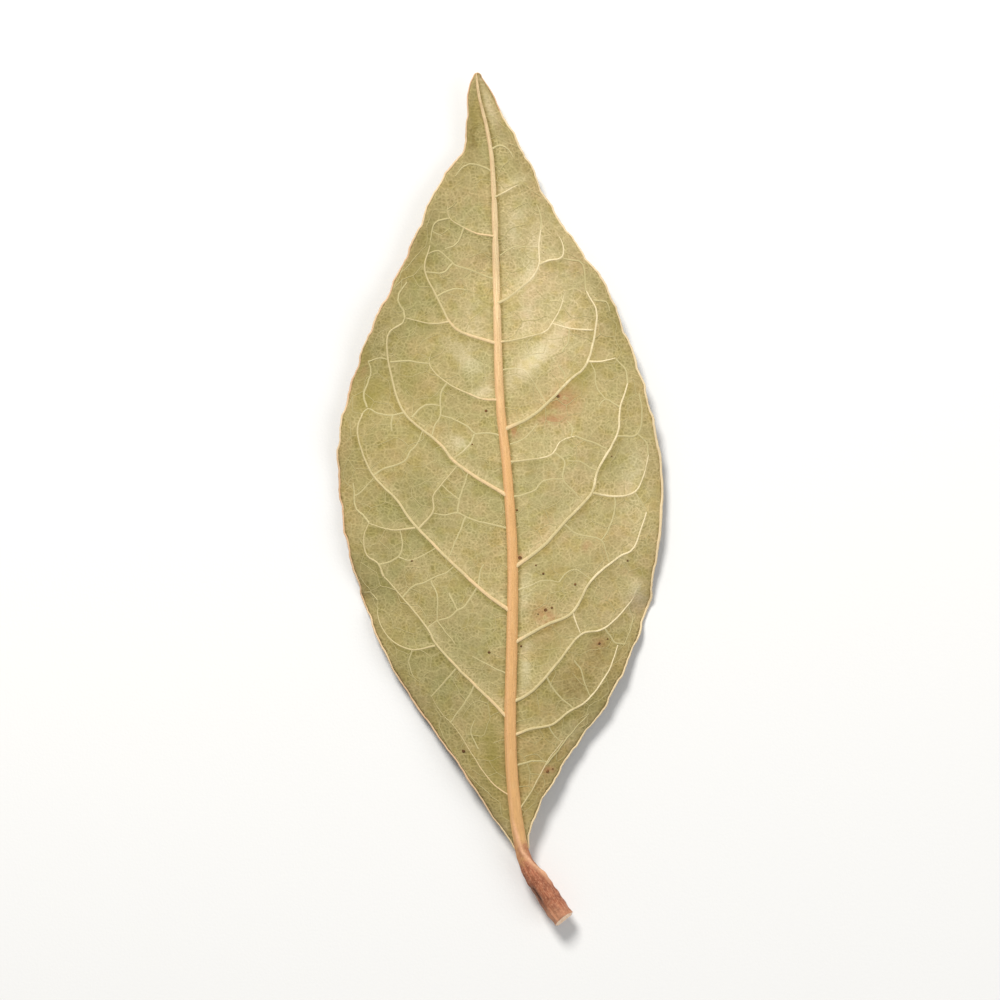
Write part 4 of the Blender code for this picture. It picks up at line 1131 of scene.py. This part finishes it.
def strand_tree(from_below=False):
    """Strands on the blade, as thick as the radius stored along them."""
    tree, w, given = geometry_tree(
        "Strands On Blade", blade="Object", lift="Float", stray="Float", stray_size="Float",
        spacing="Float", flatness="Float", sides="Int", material="Material",
    )
    tubes = tubes_on_blade(
        w, given, given["Geometry"], w.stored("thickness"), given["Sides"], given["Flatness"],
        given["Lift"], from_below,
    )
    finish_tree(w, tubes, given["Material"])
    return tree


def strands(name, courses, blade, material, tree, **values):
    """Strands from (course, radii, runs) rows, all in one piece."""
    points, edges, radii, runs, pale = [], [], [], [], []
    for course, radius, run in courses:
        first = len(points)
        points.extend(on_blade(course))
        # how much of the puckers' paler colour and painted highlight covers each point
        pale.extend(oval_cover(course, PALE_AND_HIGHLIGHT_PATCHES))
        edges.extend((first + i, first + i + 1) for i in range(len(course) - 1))
        radii.extend(radius * MM)
        runs.extend(run)
    piece = new_piece(name, points, edges=edges, thickness=radii, run=runs, pale=pale)
    return grow(piece, tree, blade=blade, material=material, **values)


def vein_rows(step, share):
    """The side veins at a share of their radii, tapering outwards, and tan to cream along their run."""
    rows = []
    for radius, points in VEINS:
        course = smooth_course(points, step)
        run = np.linspace(0.0, 1.0, len(course))
        taper = 1.0 - (1.0 - VEIN_END_RADIUS) * run
        lines = [line for _, line in VEINS if line is not points] + NET_VEINS
        others = np.vstack([smooth_course(line, VEIN_COURSE_STEP) for line in lines])
        if nearest(course[-1:], others)[0][0] > FREE_END_GAP:
            to_end = (1 - run) * len(course) * step
            taper = taper * np.clip(to_end / FREE_END_FADE, FREE_END_LEAST, 1.0)
        stouter, reach = VEIN_FOOT
        foot = 1.0 + stouter * fading(run * len(course) * step, reach)
        branch = abs(points[0][0] - midrib_x(points[0][1])) > BRANCH_GAP
        tone = np.interp(run, [0.0, 1.0], [0.6, 1.0] if branch else [0.0, 1.0])
        if points[-1][0] > 0:
            tone = tone + 0.7 * np.clip(run / 0.12, 0.4, 1.0)
        rows.append((course, share * radius * taper * foot, tone))
    return rows


def net_rows():
    """The net's cross veins, all in the colour of the side veins' outer ends."""
    rows = []
    for table, radius in ((NET_VEINS, NET_VEIN_RADIUS), (FAINT_VEINS, FAINT_VEIN_RADIUS)):
        for points in table:
            course = smooth_course(points, VEIN_COURSE_STEP)
            taper = np.interp(np.linspace(0, 1, len(course)), [0.0, 0.5, 1.0], [1.1, 0.95, 0.7])
            rows.append((course, radius * taper, np.full(len(course), 1.0)))
    return rows


def build_side_veins(settings, blade):
    """The looped side veins on the underside."""
    tones = settings.vein_inner_colour, settings.vein_outer_colour, settings.vein_cream_colour
    return strands(
        "side_veins", vein_rows(VEIN_COURSE_STEP, SIDE_VEIN_SHARE), blade,
        vein_finish("side_veins", *tones), strand_tree(), lift=-0.01 * MM, stray=0.16 * MM,
        stray_size=1.6 * MM, spacing=0.22 * MM, flatness=0.48, sides=12,
    )


def build_cross_veins(settings, blade):
    """The cross veins between the side veins."""
    colour = settings.cross_vein_colour
    return strands(
        "cross_veins", net_rows(), blade, vein_finish("cross_veins", colour, colour, depth=0.01),
        strand_tree(), lift=-0.01 * MM, stray=0.24 * MM, stray_size=1.1 * MM, spacing=0.2 * MM,
        flatness=0.36, sides=8,
    )


def net_tree():
    """A net of thin strands: the dual of an uneven triangle mesh, with some links missing."""
    tree, w, given = geometry_tree(
        "Vein Net", blade="Object", radius="Float", missing="Float", seed="Int", stray="Float",
        stray_size="Float", spacing="Float", material="Material",
    )
    cells = w.node("GeometryNodeDualMesh", {"Mesh": given["Geometry"]}).outputs[0]
    inputs = {"Probability": given["Missing"], "Seed": given["Seed"]}
    chance = w.node("FunctionNodeRandomValue", inputs, data_type="BOOLEAN").outputs[3]
    inputs = {"Geometry": cells, "Selection": chance}
    kept = w.node("GeometryNodeDeleteGeometry", inputs, domain="EDGE", mode="EDGE_FACE").outputs[0]
    unevenness = w.ramp(w.noise(w.plan_place(), 300.0), 0.3, 0.7, 0.55, 1.25)
    thickness = w.times(given["Radius"], unevenness)
    tubes = tubes_on_blade(w, given, kept, thickness, sides=5, flatness=0.6)
    finish_tree(w, tubes, given["Material"])
    return tree


def build_net(settings, blade):
    """Fine net between the veins."""
    spacing = settings.net_cell / MM
    chance = np.random.default_rng(21)
    points = lattice(spacing, 0.35 * spacing, 5)
    points += chance.uniform(-NET_JITTER, NET_JITTER, points.shape) * spacing
    rim = margin_ring(spacing)
    rim = rim * (1 - NET_RIM_PULL) + NET_RIM_PULL * rim.mean(axis=0)
    plan = np.vstack([points[inside_blade(points, NET_GAP)], rim])
    made, _, faces, *_ = delaunay_2d_cdt([Vector(point) for point in plan], [], [], 0, SAME_POINT)
    plan = np.array(made)
    held = inside_blade(np.array([plan[list(face)].mean(axis=0) for face in faces]), 0.0)
    # the net is lightened on the puckers' patches too: partly painted highlight
    net = new_piece(
        "fine_net", on_blade(plan), faces=[face for face, keep in zip(faces, held) if keep],
        run=np.full(len(plan), 1.0), pale=oval_cover(plan, PALE_AND_HIGHLIGHT_PATCHES),
    )
    material = vein_finish("fine_net", settings.net_colour, settings.net_colour, depth=0.01)
    return grow(
        net, net_tree(), blade=blade, radius=settings.net_radius, missing=0.22, seed=3,
        stray=0.45 * MM, stray_size=1.1 * MM, spacing=0.32 * MM, material=material,
    )


def build_upper_veins(blade):
    """Faint veins on the hidden upper face, with a slim midrib line."""
    course = smooth_course(MIDRIB[1:], 0.5)
    line = np.interp(course[:, 1], UPPER_LINE_AT, UPPER_LINE_RADIUS)
    rows = vein_rows(0.5, UPPER_VEIN_SHARE) + [(course, line, np.zeros(len(course)))]
    material = vein_finish("upper_face_veins", UPPER_VEIN_INNER, UPPER_VEIN_OUTER)
    return strands(
        "upper_face_veins", rows, blade, material, strand_tree(from_below=True), lift=0.03 * MM,
        stray=0.2 * MM, stray_size=1.6 * MM, spacing=0.4 * MM, flatness=0.5, sides=6,
    )


def build_rim(settings, blade):
    """The hard rim along the blade's margin: a little uneven, stouter at mid right, slimmer by the tip."""
    count = blade["margin_points"]
    points = read_all(blade.data.vertices, "co", 3).reshape(-1, 3)[:count]
    run = np.cumsum(np.linalg.norm(np.roll(points, -1, axis=0) - points, axis=1))
    unevenness = 1 + 0.10 * np.sin(run / (1.3 * MM)) + 0.07 * np.sin(run / (0.47 * MM))
    right = points[:, 0] > 0
    stouter = 1 + 0.5 * right * fading(points[:, 1] / MM + 1.0, 10.0)
    apex = points[points[:, 1].argmax()]
    tip_distance = np.linalg.norm(points - apex, axis=1)
    slimmer = 0.5 + 0.5 * np.clip(tip_distance / (6 * MM), 0, 1)
    radius = settings.margin_radius * unevenness * stouter * slimmer
    edges = [(i, (i + 1) % count) for i in range(count)]
    rim = new_piece("margin_rim", points, edges=edges, thickness=radius, run=np.where(right, 0.15, 0.9))
    tree, w, given = geometry_tree("Margin Rim", sides="Int", material="Material")
    line = w.node("GeometryNodeMeshToCurve", {"Mesh": given["Geometry"]}).outputs[0]
    finish_tree(w, tube(w, line, w.stored("thickness"), given["Sides"]), given["Material"])
    return grow(rim, tree, sides=10, material=rim_finish(settings))


# Midrib and stalk


def midrib_course(step):
    """Middle of the midrib from the stalk's end to the leaf's tip, in plan millimetres with levels."""
    plan = smooth_course(MIDRIB, 2.0)
    level = blade_level(plan[:, 0], plan[:, 1]) + midrib_over_blade(plan[:, 1])
    return smooth_course(STALK + [tuple(point) for point in np.column_stack([plan, level])], step)


def cut_plane():
    """A point on the stalk's cut and the way the cut face looks."""
    end, inner = Vector(STALK[0]), Vector(STALK[1])
    outwards = (end - inner).normalized()
    aside = outwards.cross(Vector((0, 0, 1))).normalized()
    facing = outwards.copy()
    facing.rotate(Matrix.Rotation(math.radians(STALK_CUT_LEAN), 3, aside))
    return np.array([*STALK_CUT_AT, STALK[1][2]]), np.array(facing)


def rod_form(y, along, turns, stalk):
    """Share of the rod's radius at each turn of each ring, and where its groove and bright ridge run."""
    # ridges along the rod, swaying as they go, and rings across it
    ridges = 0.035 * np.sin(9 * turns + 0.25 * np.sin(along / 3.1) + 0.5) * (0.4 + 0.6 * stalk)
    ridges = ridges + 0.03 * np.sin(5 * turns + 0.8 * np.sin(along / 4.7 + 1.0))
    ridges = ridges + 0.035 * stalk * np.sin(14 * turns + 2.2 * np.sin(along / 1.7))
    ridges = ridges + 0.03 * stalk * np.sin(along * 5.2 + 2.0 * np.sin(3 * turns))
    ridges = ridges + 0.012 * np.sin(along * 2.3 + 2 * turns)
    groove = fading(turns - GROOVE_TURN * math.pi, GROOVE_WIDTH) * fading(y - GROOVE_Y, GROOVE_LENGTH)
    crest = fading(turns - np.interp(y, *zip(*STALK_RIDGE)) * math.pi, RIDGE_WIDTH)
    ridge = crest * np.clip((y - GROOVE_Y) / 1.2, 0, 1) * np.clip((-29.0 - y) / 2.0, 0.35, 1)
    return 1 + ridges - GROOVE_DEPTH * groove + RIDGE_HEIGHT * ridge, groove, ridge


def rod_faces(rings, sides, bands):
    """Faces of the rod: its length, the bands of its cut, and the fans that close both ends."""
    round_once = [(j, (j + 1) % sides) for j in range(sides)]
    starts = [i * sides for i in range(rings)]
    inwards = [0] + [(rings + n) * sides for n in range(bands)]
    core = (rings + bands) * sides
    faces = [
        (low + j, low + k, high + k, high + j)
        for low, high in zip(starts, starts[1:]) for j, k in round_once
    ]
    faces += [
        (outer + k, outer + j, inner + j, inner + k)
        for outer, inner in zip(inwards, inwards[1:]) for j, k in round_once
    ]
    for j, k in round_once:
        faces.append((inwards[-1] + k, inwards[-1] + j, core))
        faces.append((starts[-1] + j, starts[-1] + k, core + 1))
    return faces


def rod_map(piece, rings, sides, bands):
    """Maps the rod: turn round it across the square, and run along it upwards, the cut's rings lowest."""
    cut_first, core = rings * sides, (rings + bands) * sides
    places = []
    for face in piece.data.polygons:
        corners = list(face.vertices)
        turns = [corner % sides for corner in corners if corner < core]
        wraps = max(turns) - min(turns) > 1
        for corner in corners:
            ring, turn = divmod(corner, sides)
            if corner >= core:
                run = 0.0 if corner == core else 1.0
                turn = sides - 0.5 if wraps else sum(turns) / len(turns)
            elif corner >= cut_first:
                run = CUT_ON_MAP * (rings + bands - ring) / (bands + 1)
            else:
                run = CUT_ON_MAP + 0.94 * ring / rings
            turn = sides if wraps and turn == 0 else turn
            places.append((0.005 + 0.99 * turn / sides, run))
    bake_map(piece, places)


def build_midrib(settings):
    """The midrib, which runs down into the stalk and ends in its slanting cut."""
    sides = ROD_SIDES
    course = midrib_course(ROD_STEP)
    tangent = np.gradient(course, axis=0)
    tangent /= np.linalg.norm(tangent, axis=1)[:, None]
    across = np.cross(tangent, (0.0, 0.0, 1.0))
    across /= np.linalg.norm(across, axis=1)[:, None]
    upwards = np.cross(across, tangent)
    run = run_along(course)
    y = course[:, 1][:, None]
    turns = np.linspace(0, 2 * math.pi, sides, endpoint=False)[None, :]
    stalk = np.clip((STALK_FROM - y) / STALK_OVER, 0.0, 1.0)
    form, groove, ridge = rod_form(y, run[:, None], turns, stalk)
    ring = (midrib_radius(y) * form)[..., None] * (
        np.cos(turns)[..., None] * across[:, None] + np.sin(turns)[..., None] * upwards[:, None]
    )
    points = course[:, None] + ring
    points[..., 2] = course[:, None, 2] + ring[..., 2] * (1.0 - ROD_FLATTENING * (1 - stalk))

    # the slanting cut: what is past its plane is drawn back onto it along the stalk
    origin, facing = cut_plane()
    beyond = (points - origin) @ facing
    slide = beyond / (tangent[:, None] @ facing)
    drawn_back = points - slide[..., None] * tangent[:, None]
    points = np.where(((beyond > 0) & (y < CUT_BELOW))[..., None], drawn_back, points)
    first = int(np.argmax(beyond.min(axis=1) <= 0))
    points, groove, ridge = points[first:], groove[first:], ridge[first:]
    course, run = course[first:], run[first:]

    middle = points[0].mean(axis=0)
    chance = np.random.default_rng(8)
    caps = []
    for share, unevenness in CUT_RINGS:
        rise = unevenness + chance.uniform(-0.5, 0.5, (sides, 1)) * unevenness
        caps.append(middle + (points[0] - middle) * share + facing * rise)
    tip = points[-1].mean(axis=0) + (course[-1] - course[-2]) * TIP_REACH
    core = middle + facing * CUT_MIDDLE_RISE
    vertices = np.vstack([points.reshape(-1, 3), *caps, core, tip])
    rings, bands = len(points), len(caps)
    extra = np.zeros(bands * sides + 2)
    piece = new_piece(
        "midrib_and_stalk", placed(vertices), faces=rod_faces(rings, sides, bands),
        cut=np.concatenate([np.zeros(rings * sides), np.ones(bands * sides + 1), [0.0]]),
        # how much painted shade each point of the stalk's groove takes
        groove=np.concatenate([groove.ravel(), extra]),
        # how much painted highlight each point of the raised ridge takes
        ridge=np.concatenate([ridge.ravel(), extra]) * 0.9,
    )
    # fibres run along the rod: turn, folded so that it has no seam on top, then run
    folded = np.abs(np.mod(turns - math.pi / 2, 2 * math.pi) - math.pi)
    grain = np.zeros((len(vertices), 3))
    grain[: rings * sides, 0] = np.tile(folded[0] * 0.8, rings)
    grain[: rings * sides, 1] = np.repeat(run, sides)
    layer = piece.data.attributes.new("grain", "FLOAT_VECTOR", "POINT")
    layer.data.foreach_set("vector", grain.astype(np.float32).ravel())
    outwards = bmesh.new()
    outwards.from_mesh(piece.data)
    bmesh.ops.recalc_face_normals(outwards, faces=outwards.faces)
    outwards.to_mesh(piece.data)
    outwards.free()
    rod_map(piece, rings, sides, bands)
    piece.data.shade_smooth()
    piece.data.materials.append(midrib_finish(settings))
    return piece


# Specks


def speck_tree():
    """Flat grains on given points and scattered over the blade."""
    tree, w, given = geometry_tree(
        "Specks", blade="Object", density="Float", smallest="Float", largest="Float", seed="Int",
        material="Material",
    )
    inputs = {
        "Mesh": w.node("GeometryNodeObjectInfo", {"Object": given["Blade"]}).outputs["Geometry"],
        "Selection": w.maths("GREATER_THAN", w.stored("side"), 0.0),
        "Density": given["Density"],
        "Seed": given["Seed"],
    }
    scattered = w.node("GeometryNodeDistributePointsOnFaces", inputs).outputs["Points"]
    inputs = {2: given["Smallest"], 3: given["Largest"], "Seed": given["Seed"]}
    size = w.node("FunctionNodeRandomValue", inputs, data_type="FLOAT").outputs[1]
    inputs = {"Geometry": scattered, "Name": "speck_size", "Value": size}
    store = w.node("GeometryNodeStoreNamedAttribute", inputs, data_type="FLOAT", domain="POINT")
    named = w.node("GeometryNodeMeshToPoints", {"Mesh": given["Geometry"]}).outputs[0]
    both = w.node("GeometryNodeJoinGeometry")
    tree.links.new(store.outputs[0], both.inputs[0])
    tree.links.new(named, both.inputs[0])
    ball = w.node("GeometryNodeMeshIcoSphere", {"Radius": 1.0, "Subdivisions": 2}).outputs["Mesh"]
    uneven = w.stray(w.node("GeometryNodeInputPosition").outputs[0], 1.3, 0.9)
    grain = w.node("GeometryNodeSetPosition", {"Geometry": ball, "Offset": uneven}).outputs[0]
    inputs = {0: (0.0, 0.0, 0.0), 1: (0.3, 0.3, 6.28), "Seed": given["Seed"]}
    spin = w.node("FunctionNodeRandomValue", inputs, data_type="FLOAT_VECTOR").outputs[0]
    radius = w.stored("speck_size")
    flat = w.node("ShaderNodeCombineXYZ", {"X": radius, "Y": radius, "Z": w.times(radius, 0.35)}).outputs[0]
    inputs = {"Points": both.outputs[0], "Instance": grain, "Rotation": spin, "Scale": flat}
    grains = w.node("GeometryNodeInstanceOnPoints", inputs).outputs[0]
    finish_tree(w, grains, given["Material"])
    return tree


def build_specks(settings, blade):
    """Dark specks: those of the table, and smaller ones scattered over the underside."""
    points = placed(np.array([(x, y, 0.0) for x, y, _ in DOTS]))
    for point in points:
        hit, place, _, _ = blade.ray_cast((point[0], point[1], RAY_START), (0.0, 0.0, -1.0))
        if not hit:
            raise RuntimeError("a speck lies off the blade")
        point[2] = place[2]
    specks = new_piece("specks", points, speck_size=[radius * MM for _, _, radius in DOTS])
    return grow(
        specks, speck_tree(), blade=blade, density=settings.speck_density, smallest=0.02 * MM,
        largest=0.045 * MM, seed=6, material=speck_finish(),
    )


# Stage


def area_light(name, place, aim, size, power, colour):
    """A round lamp at a place, turned to a point."""
    data = bpy.data.lights.new(name, "AREA")
    data.shape = "DISK"
    data.size = size
    data.energy = power
    data.color = colour
    lamp = bpy.data.objects.new(name, data)
    lamp.location = place
    lamp.rotation_euler = (Vector(aim) - Vector(place)).to_track_quat("-Z", "Y").to_euler()
    bpy.context.scene.collection.objects.link(lamp)


def build_stage(settings):
    """The floor, the two lamps and the pale room, and the camera straight above."""
    low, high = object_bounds()
    middle = (low + high) / 2
    bpy.ops.mesh.primitive_grid_add(x_subdivisions=8, y_subdivisions=8, size=3.0)
    floor = bpy.context.object
    floor.name = "floor"
    floor.data.materials.append(floor_finish(settings))
    floor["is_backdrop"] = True

    key_place = middle + Vector(KEY_DIRECTION) * LIGHT_DISTANCE
    fill_place = middle + Vector(FILL_DIRECTION) * LIGHT_DISTANCE
    area_light("key", key_place, middle, 0.14, settings.key_power, (1.0, 0.98, 0.95))
    area_light("fill", fill_place, middle, 0.40, settings.fill_power, (1.0, 1.0, 1.0))
    world = bpy.data.worlds.new("pale_room")
    world.use_nodes = True
    world.node_tree.nodes["Background"].inputs["Color"].default_value = (1.0, 1.0, 1.0, 1.0)
    world.node_tree.nodes["Background"].inputs["Strength"].default_value = settings.room_light
    scene = bpy.context.scene
    scene.world = world
    scene.view_settings.view_transform = "Standard"

    data = bpy.data.cameras.new("camera")
    data.lens = settings.lens
    data.sensor_width = 36.0
    view = (high.y - low.y) / settings.frame_fill
    distance = view * data.lens / data.sensor_width + high.z
    data.clip_start = 0.01
    data.clip_end = 10.0
    camera = bpy.data.objects.new("camera", data)
    camera.location = (middle.x, middle.y, distance)
    scene.collection.objects.link(camera)
    scene.camera = camera


# Add-on


def colour_property(name, description, default):
    return bpy.props.FloatVectorProperty(
        name=name, description=description, default=default, size=3, min=0.0, max=1.0, subtype="COLOR"
    )


def length_property(name, description, default):
    return bpy.props.FloatProperty(
        name=name, description=description, default=default, min=0.0, precision=5, unit="LENGTH"
    )


class BayLeafBlade(bpy.types.PropertyGroup):
    """Sizes and colours of the blade."""

    grain: length_property("Grain", "Spacing of the points on the underside", 0.2 * MM)
    thickness_above: length_property("Above", "Blade over its middle layer", 0.12 * MM)
    thickness_below: length_property("Below", "Blade under its middle layer", 0.24 * MM)
    cockle_height: length_property("Cockle Height", "Height of the slow unevenness", 0.30 * MM)
    cockle_size: length_property("Cockle Size", "Size of the slow unevenness", 4.5 * MM)
    dimple_height: length_property("Dimple Height", "Height of the fine unevenness", 0.032 * MM)
    dimple_size: length_property("Dimple Size", "Size of the fine unevenness", 0.75 * MM)
    sage_colour: colour_property("Sage", "Greener underside colour", (0.340, 0.284, 0.116))
    khaki_colour: colour_property("Khaki", "Yellower underside colour", (0.398, 0.316, 0.131))
    upper_face_colour: colour_property("Upper Face", "Colour of the hidden face", (0.19, 0.165, 0.05))
    margin_colour: colour_property("Margin", "Colour of the hard rim", (0.78, 0.63, 0.38))
    margin_radius: length_property("Margin Radius", "Radius of the hard rim", 0.095 * MM)


class BayLeafVeins(bpy.types.PropertyGroup):
    """Sizes and colours of the midrib, veins, net and specks."""

    net_cell: length_property("Net Cell", "Size of the net's openings", 2.3 * MM)
    net_radius: length_property("Net Radius", "Radius of the net's strands", 0.038 * MM)
    net_colour: colour_property("Net", "Colour of the net", (0.48, 0.41, 0.19))
    cross_vein_colour: colour_property("Cross Veins", "Colour of the cross veins", (0.53, 0.455, 0.22))
    vein_inner_colour: colour_property("Inner", "Veins by the midrib", (0.74, 0.54, 0.29))
    vein_outer_colour: colour_property("Outer", "Veins further out", (0.59, 0.49, 0.25))
    vein_cream_colour: colour_property("Cream", "Veins of the right half", (0.82, 0.69, 0.42))
    midrib_colour: colour_property("Midrib", "Colour of the midrib", (0.74, 0.42, 0.165))
    stalk_colour: colour_property("Stalk", "Colour of the stalk", (0.47, 0.175, 0.088))
    speck_density: bpy.props.FloatProperty(
        name="Specks", description="Scattered specks a square metre", default=16000.0, min=0.0
    )


class BayLeafStage(bpy.types.PropertyGroup):
    """The floor, the light and the camera."""

    floor_colour: colour_property("Floor", "Colour of the floor", (0.86, 0.86, 0.85))
    key_power: bpy.props.FloatProperty(name="Key", description="Watts of the key light", default=2.08)
    fill_power: bpy.props.FloatProperty(name="Fill", description="Watts of the fill light", default=0.65)
    room_light: bpy.props.FloatProperty(name="Room", description="Strength of the pale room", default=0.28)
    frame_fill: bpy.props.FloatProperty(
        name="Fill of Frame", description="Share of the picture that the leaf's length takes",
        default=0.86, min=0.1, max=1.0, subtype="FACTOR",
    )
    lens: bpy.props.FloatProperty(
        name="Lens", description="Focal length", default=100.0, unit="CAMERA"
    )


def finished_blade():
    """The blade, which most other pieces are laid on."""
    blade = bpy.data.objects.get("blade")
    if blade is None:
        raise RuntimeError("make the blade first")
    return blade


class BAYLEAF_OT_blade(bpy.types.Operator):
    """Make the blade"""

    bl_idname = "bayleaf.blade"
    bl_label = "Blade"

    def execute(self, context):
        blade = build_blade(context.scene.bay_leaf_blade)
        hand_over(blade)
        return {"FINISHED"}


class BAYLEAF_OT_midrib(bpy.types.Operator):
    """Make the midrib and the stalk"""

    bl_idname = "bayleaf.midrib"
    bl_label = "Midrib and Stalk"

    def execute(self, context):
        hand_over(build_midrib(context.scene.bay_leaf_veins))
        return {"FINISHED"}


class BAYLEAF_OT_veins(bpy.types.Operator):
    """Make the side veins and the fine net on the underside"""

    bl_idname = "bayleaf.veins"
    bl_label = "Side Veins and Net"

    def execute(self, context):
        settings, blade = context.scene.bay_leaf_veins, finished_blade()
        hand_over(build_side_veins(settings, blade))
        hand_over(build_cross_veins(settings, blade))
        hand_over(build_net(settings, blade))
        return {"FINISHED"}


class BAYLEAF_OT_upper_veins(bpy.types.Operator):
    """Make the faint veins of the upper face, which lies underneath"""

    bl_idname = "bayleaf.upper_veins"
    bl_label = "Upper Face Veins"

    def execute(self, context):
        hand_over(build_upper_veins(finished_blade()))
        return {"FINISHED"}


class BAYLEAF_OT_rim(bpy.types.Operator):
    """Make the hard rim along the margin"""

    bl_idname = "bayleaf.rim"
    bl_label = "Margin Rim"

    def execute(self, context):
        hand_over(build_rim(context.scene.bay_leaf_blade, finished_blade()))
        return {"FINISHED"}


class BAYLEAF_OT_specks(bpy.types.Operator):
    """Make the dark specks"""

    bl_idname = "bayleaf.specks"
    bl_label = "Specks"

    def execute(self, context):
        hand_over(build_specks(context.scene.bay_leaf_veins, finished_blade()))
        return {"FINISHED"}


class BAYLEAF_OT_stage(bpy.types.Operator):
    """Make the floor, the lights and the camera"""

    bl_idname = "bayleaf.stage"
    bl_label = "Stage"

    def execute(self, context):
        build_stage(context.scene.bay_leaf_stage)
        return {"FINISHED"}


OPERATORS = (
    BAYLEAF_OT_blade, BAYLEAF_OT_midrib, BAYLEAF_OT_veins, BAYLEAF_OT_upper_veins, BAYLEAF_OT_rim,
    BAYLEAF_OT_specks, BAYLEAF_OT_stage,
)
GROUPS = {
    "bay_leaf_blade": BayLeafBlade, "bay_leaf_veins": BayLeafVeins, "bay_leaf_stage": BayLeafStage,
}


class BAYLEAF_PT_panel(bpy.types.Panel):
    """Lists the leaf's pieces and their settings"""

    bl_idname = "BAYLEAF_PT_panel"
    bl_label = "Bay Leaf"
    bl_space_type = "VIEW_3D"
    bl_region_type = "UI"
    bl_category = "Bay Leaf"

    def draw(self, context):
        for operator in OPERATORS:
            self.layout.operator(operator.bl_idname)
        for name, group in GROUPS.items():
            box = self.layout.box()
            for label in group.__annotations__:
                box.prop(getattr(context.scene, name), label)


def register():
    for kind in (*GROUPS.values(), *OPERATORS, BAYLEAF_PT_panel):
        bpy.utils.register_class(kind)
    for name, group in GROUPS.items():
        setattr(bpy.types.Scene, name, bpy.props.PointerProperty(type=group))


def unregister():
    for name in GROUPS:
        delattr(bpy.types.Scene, name)
    for kind in reversed((*GROUPS.values(), *OPERATORS, BAYLEAF_PT_panel)):
        bpy.utils.unregister_class(kind)


def main():
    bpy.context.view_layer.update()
    register()
    for name in ("blade", "midrib", "veins", "upper_veins", "rim", "specks", "stage"):
        getattr(bpy.ops.bayleaf, name)()


if __name__ == "__main__":
    main()
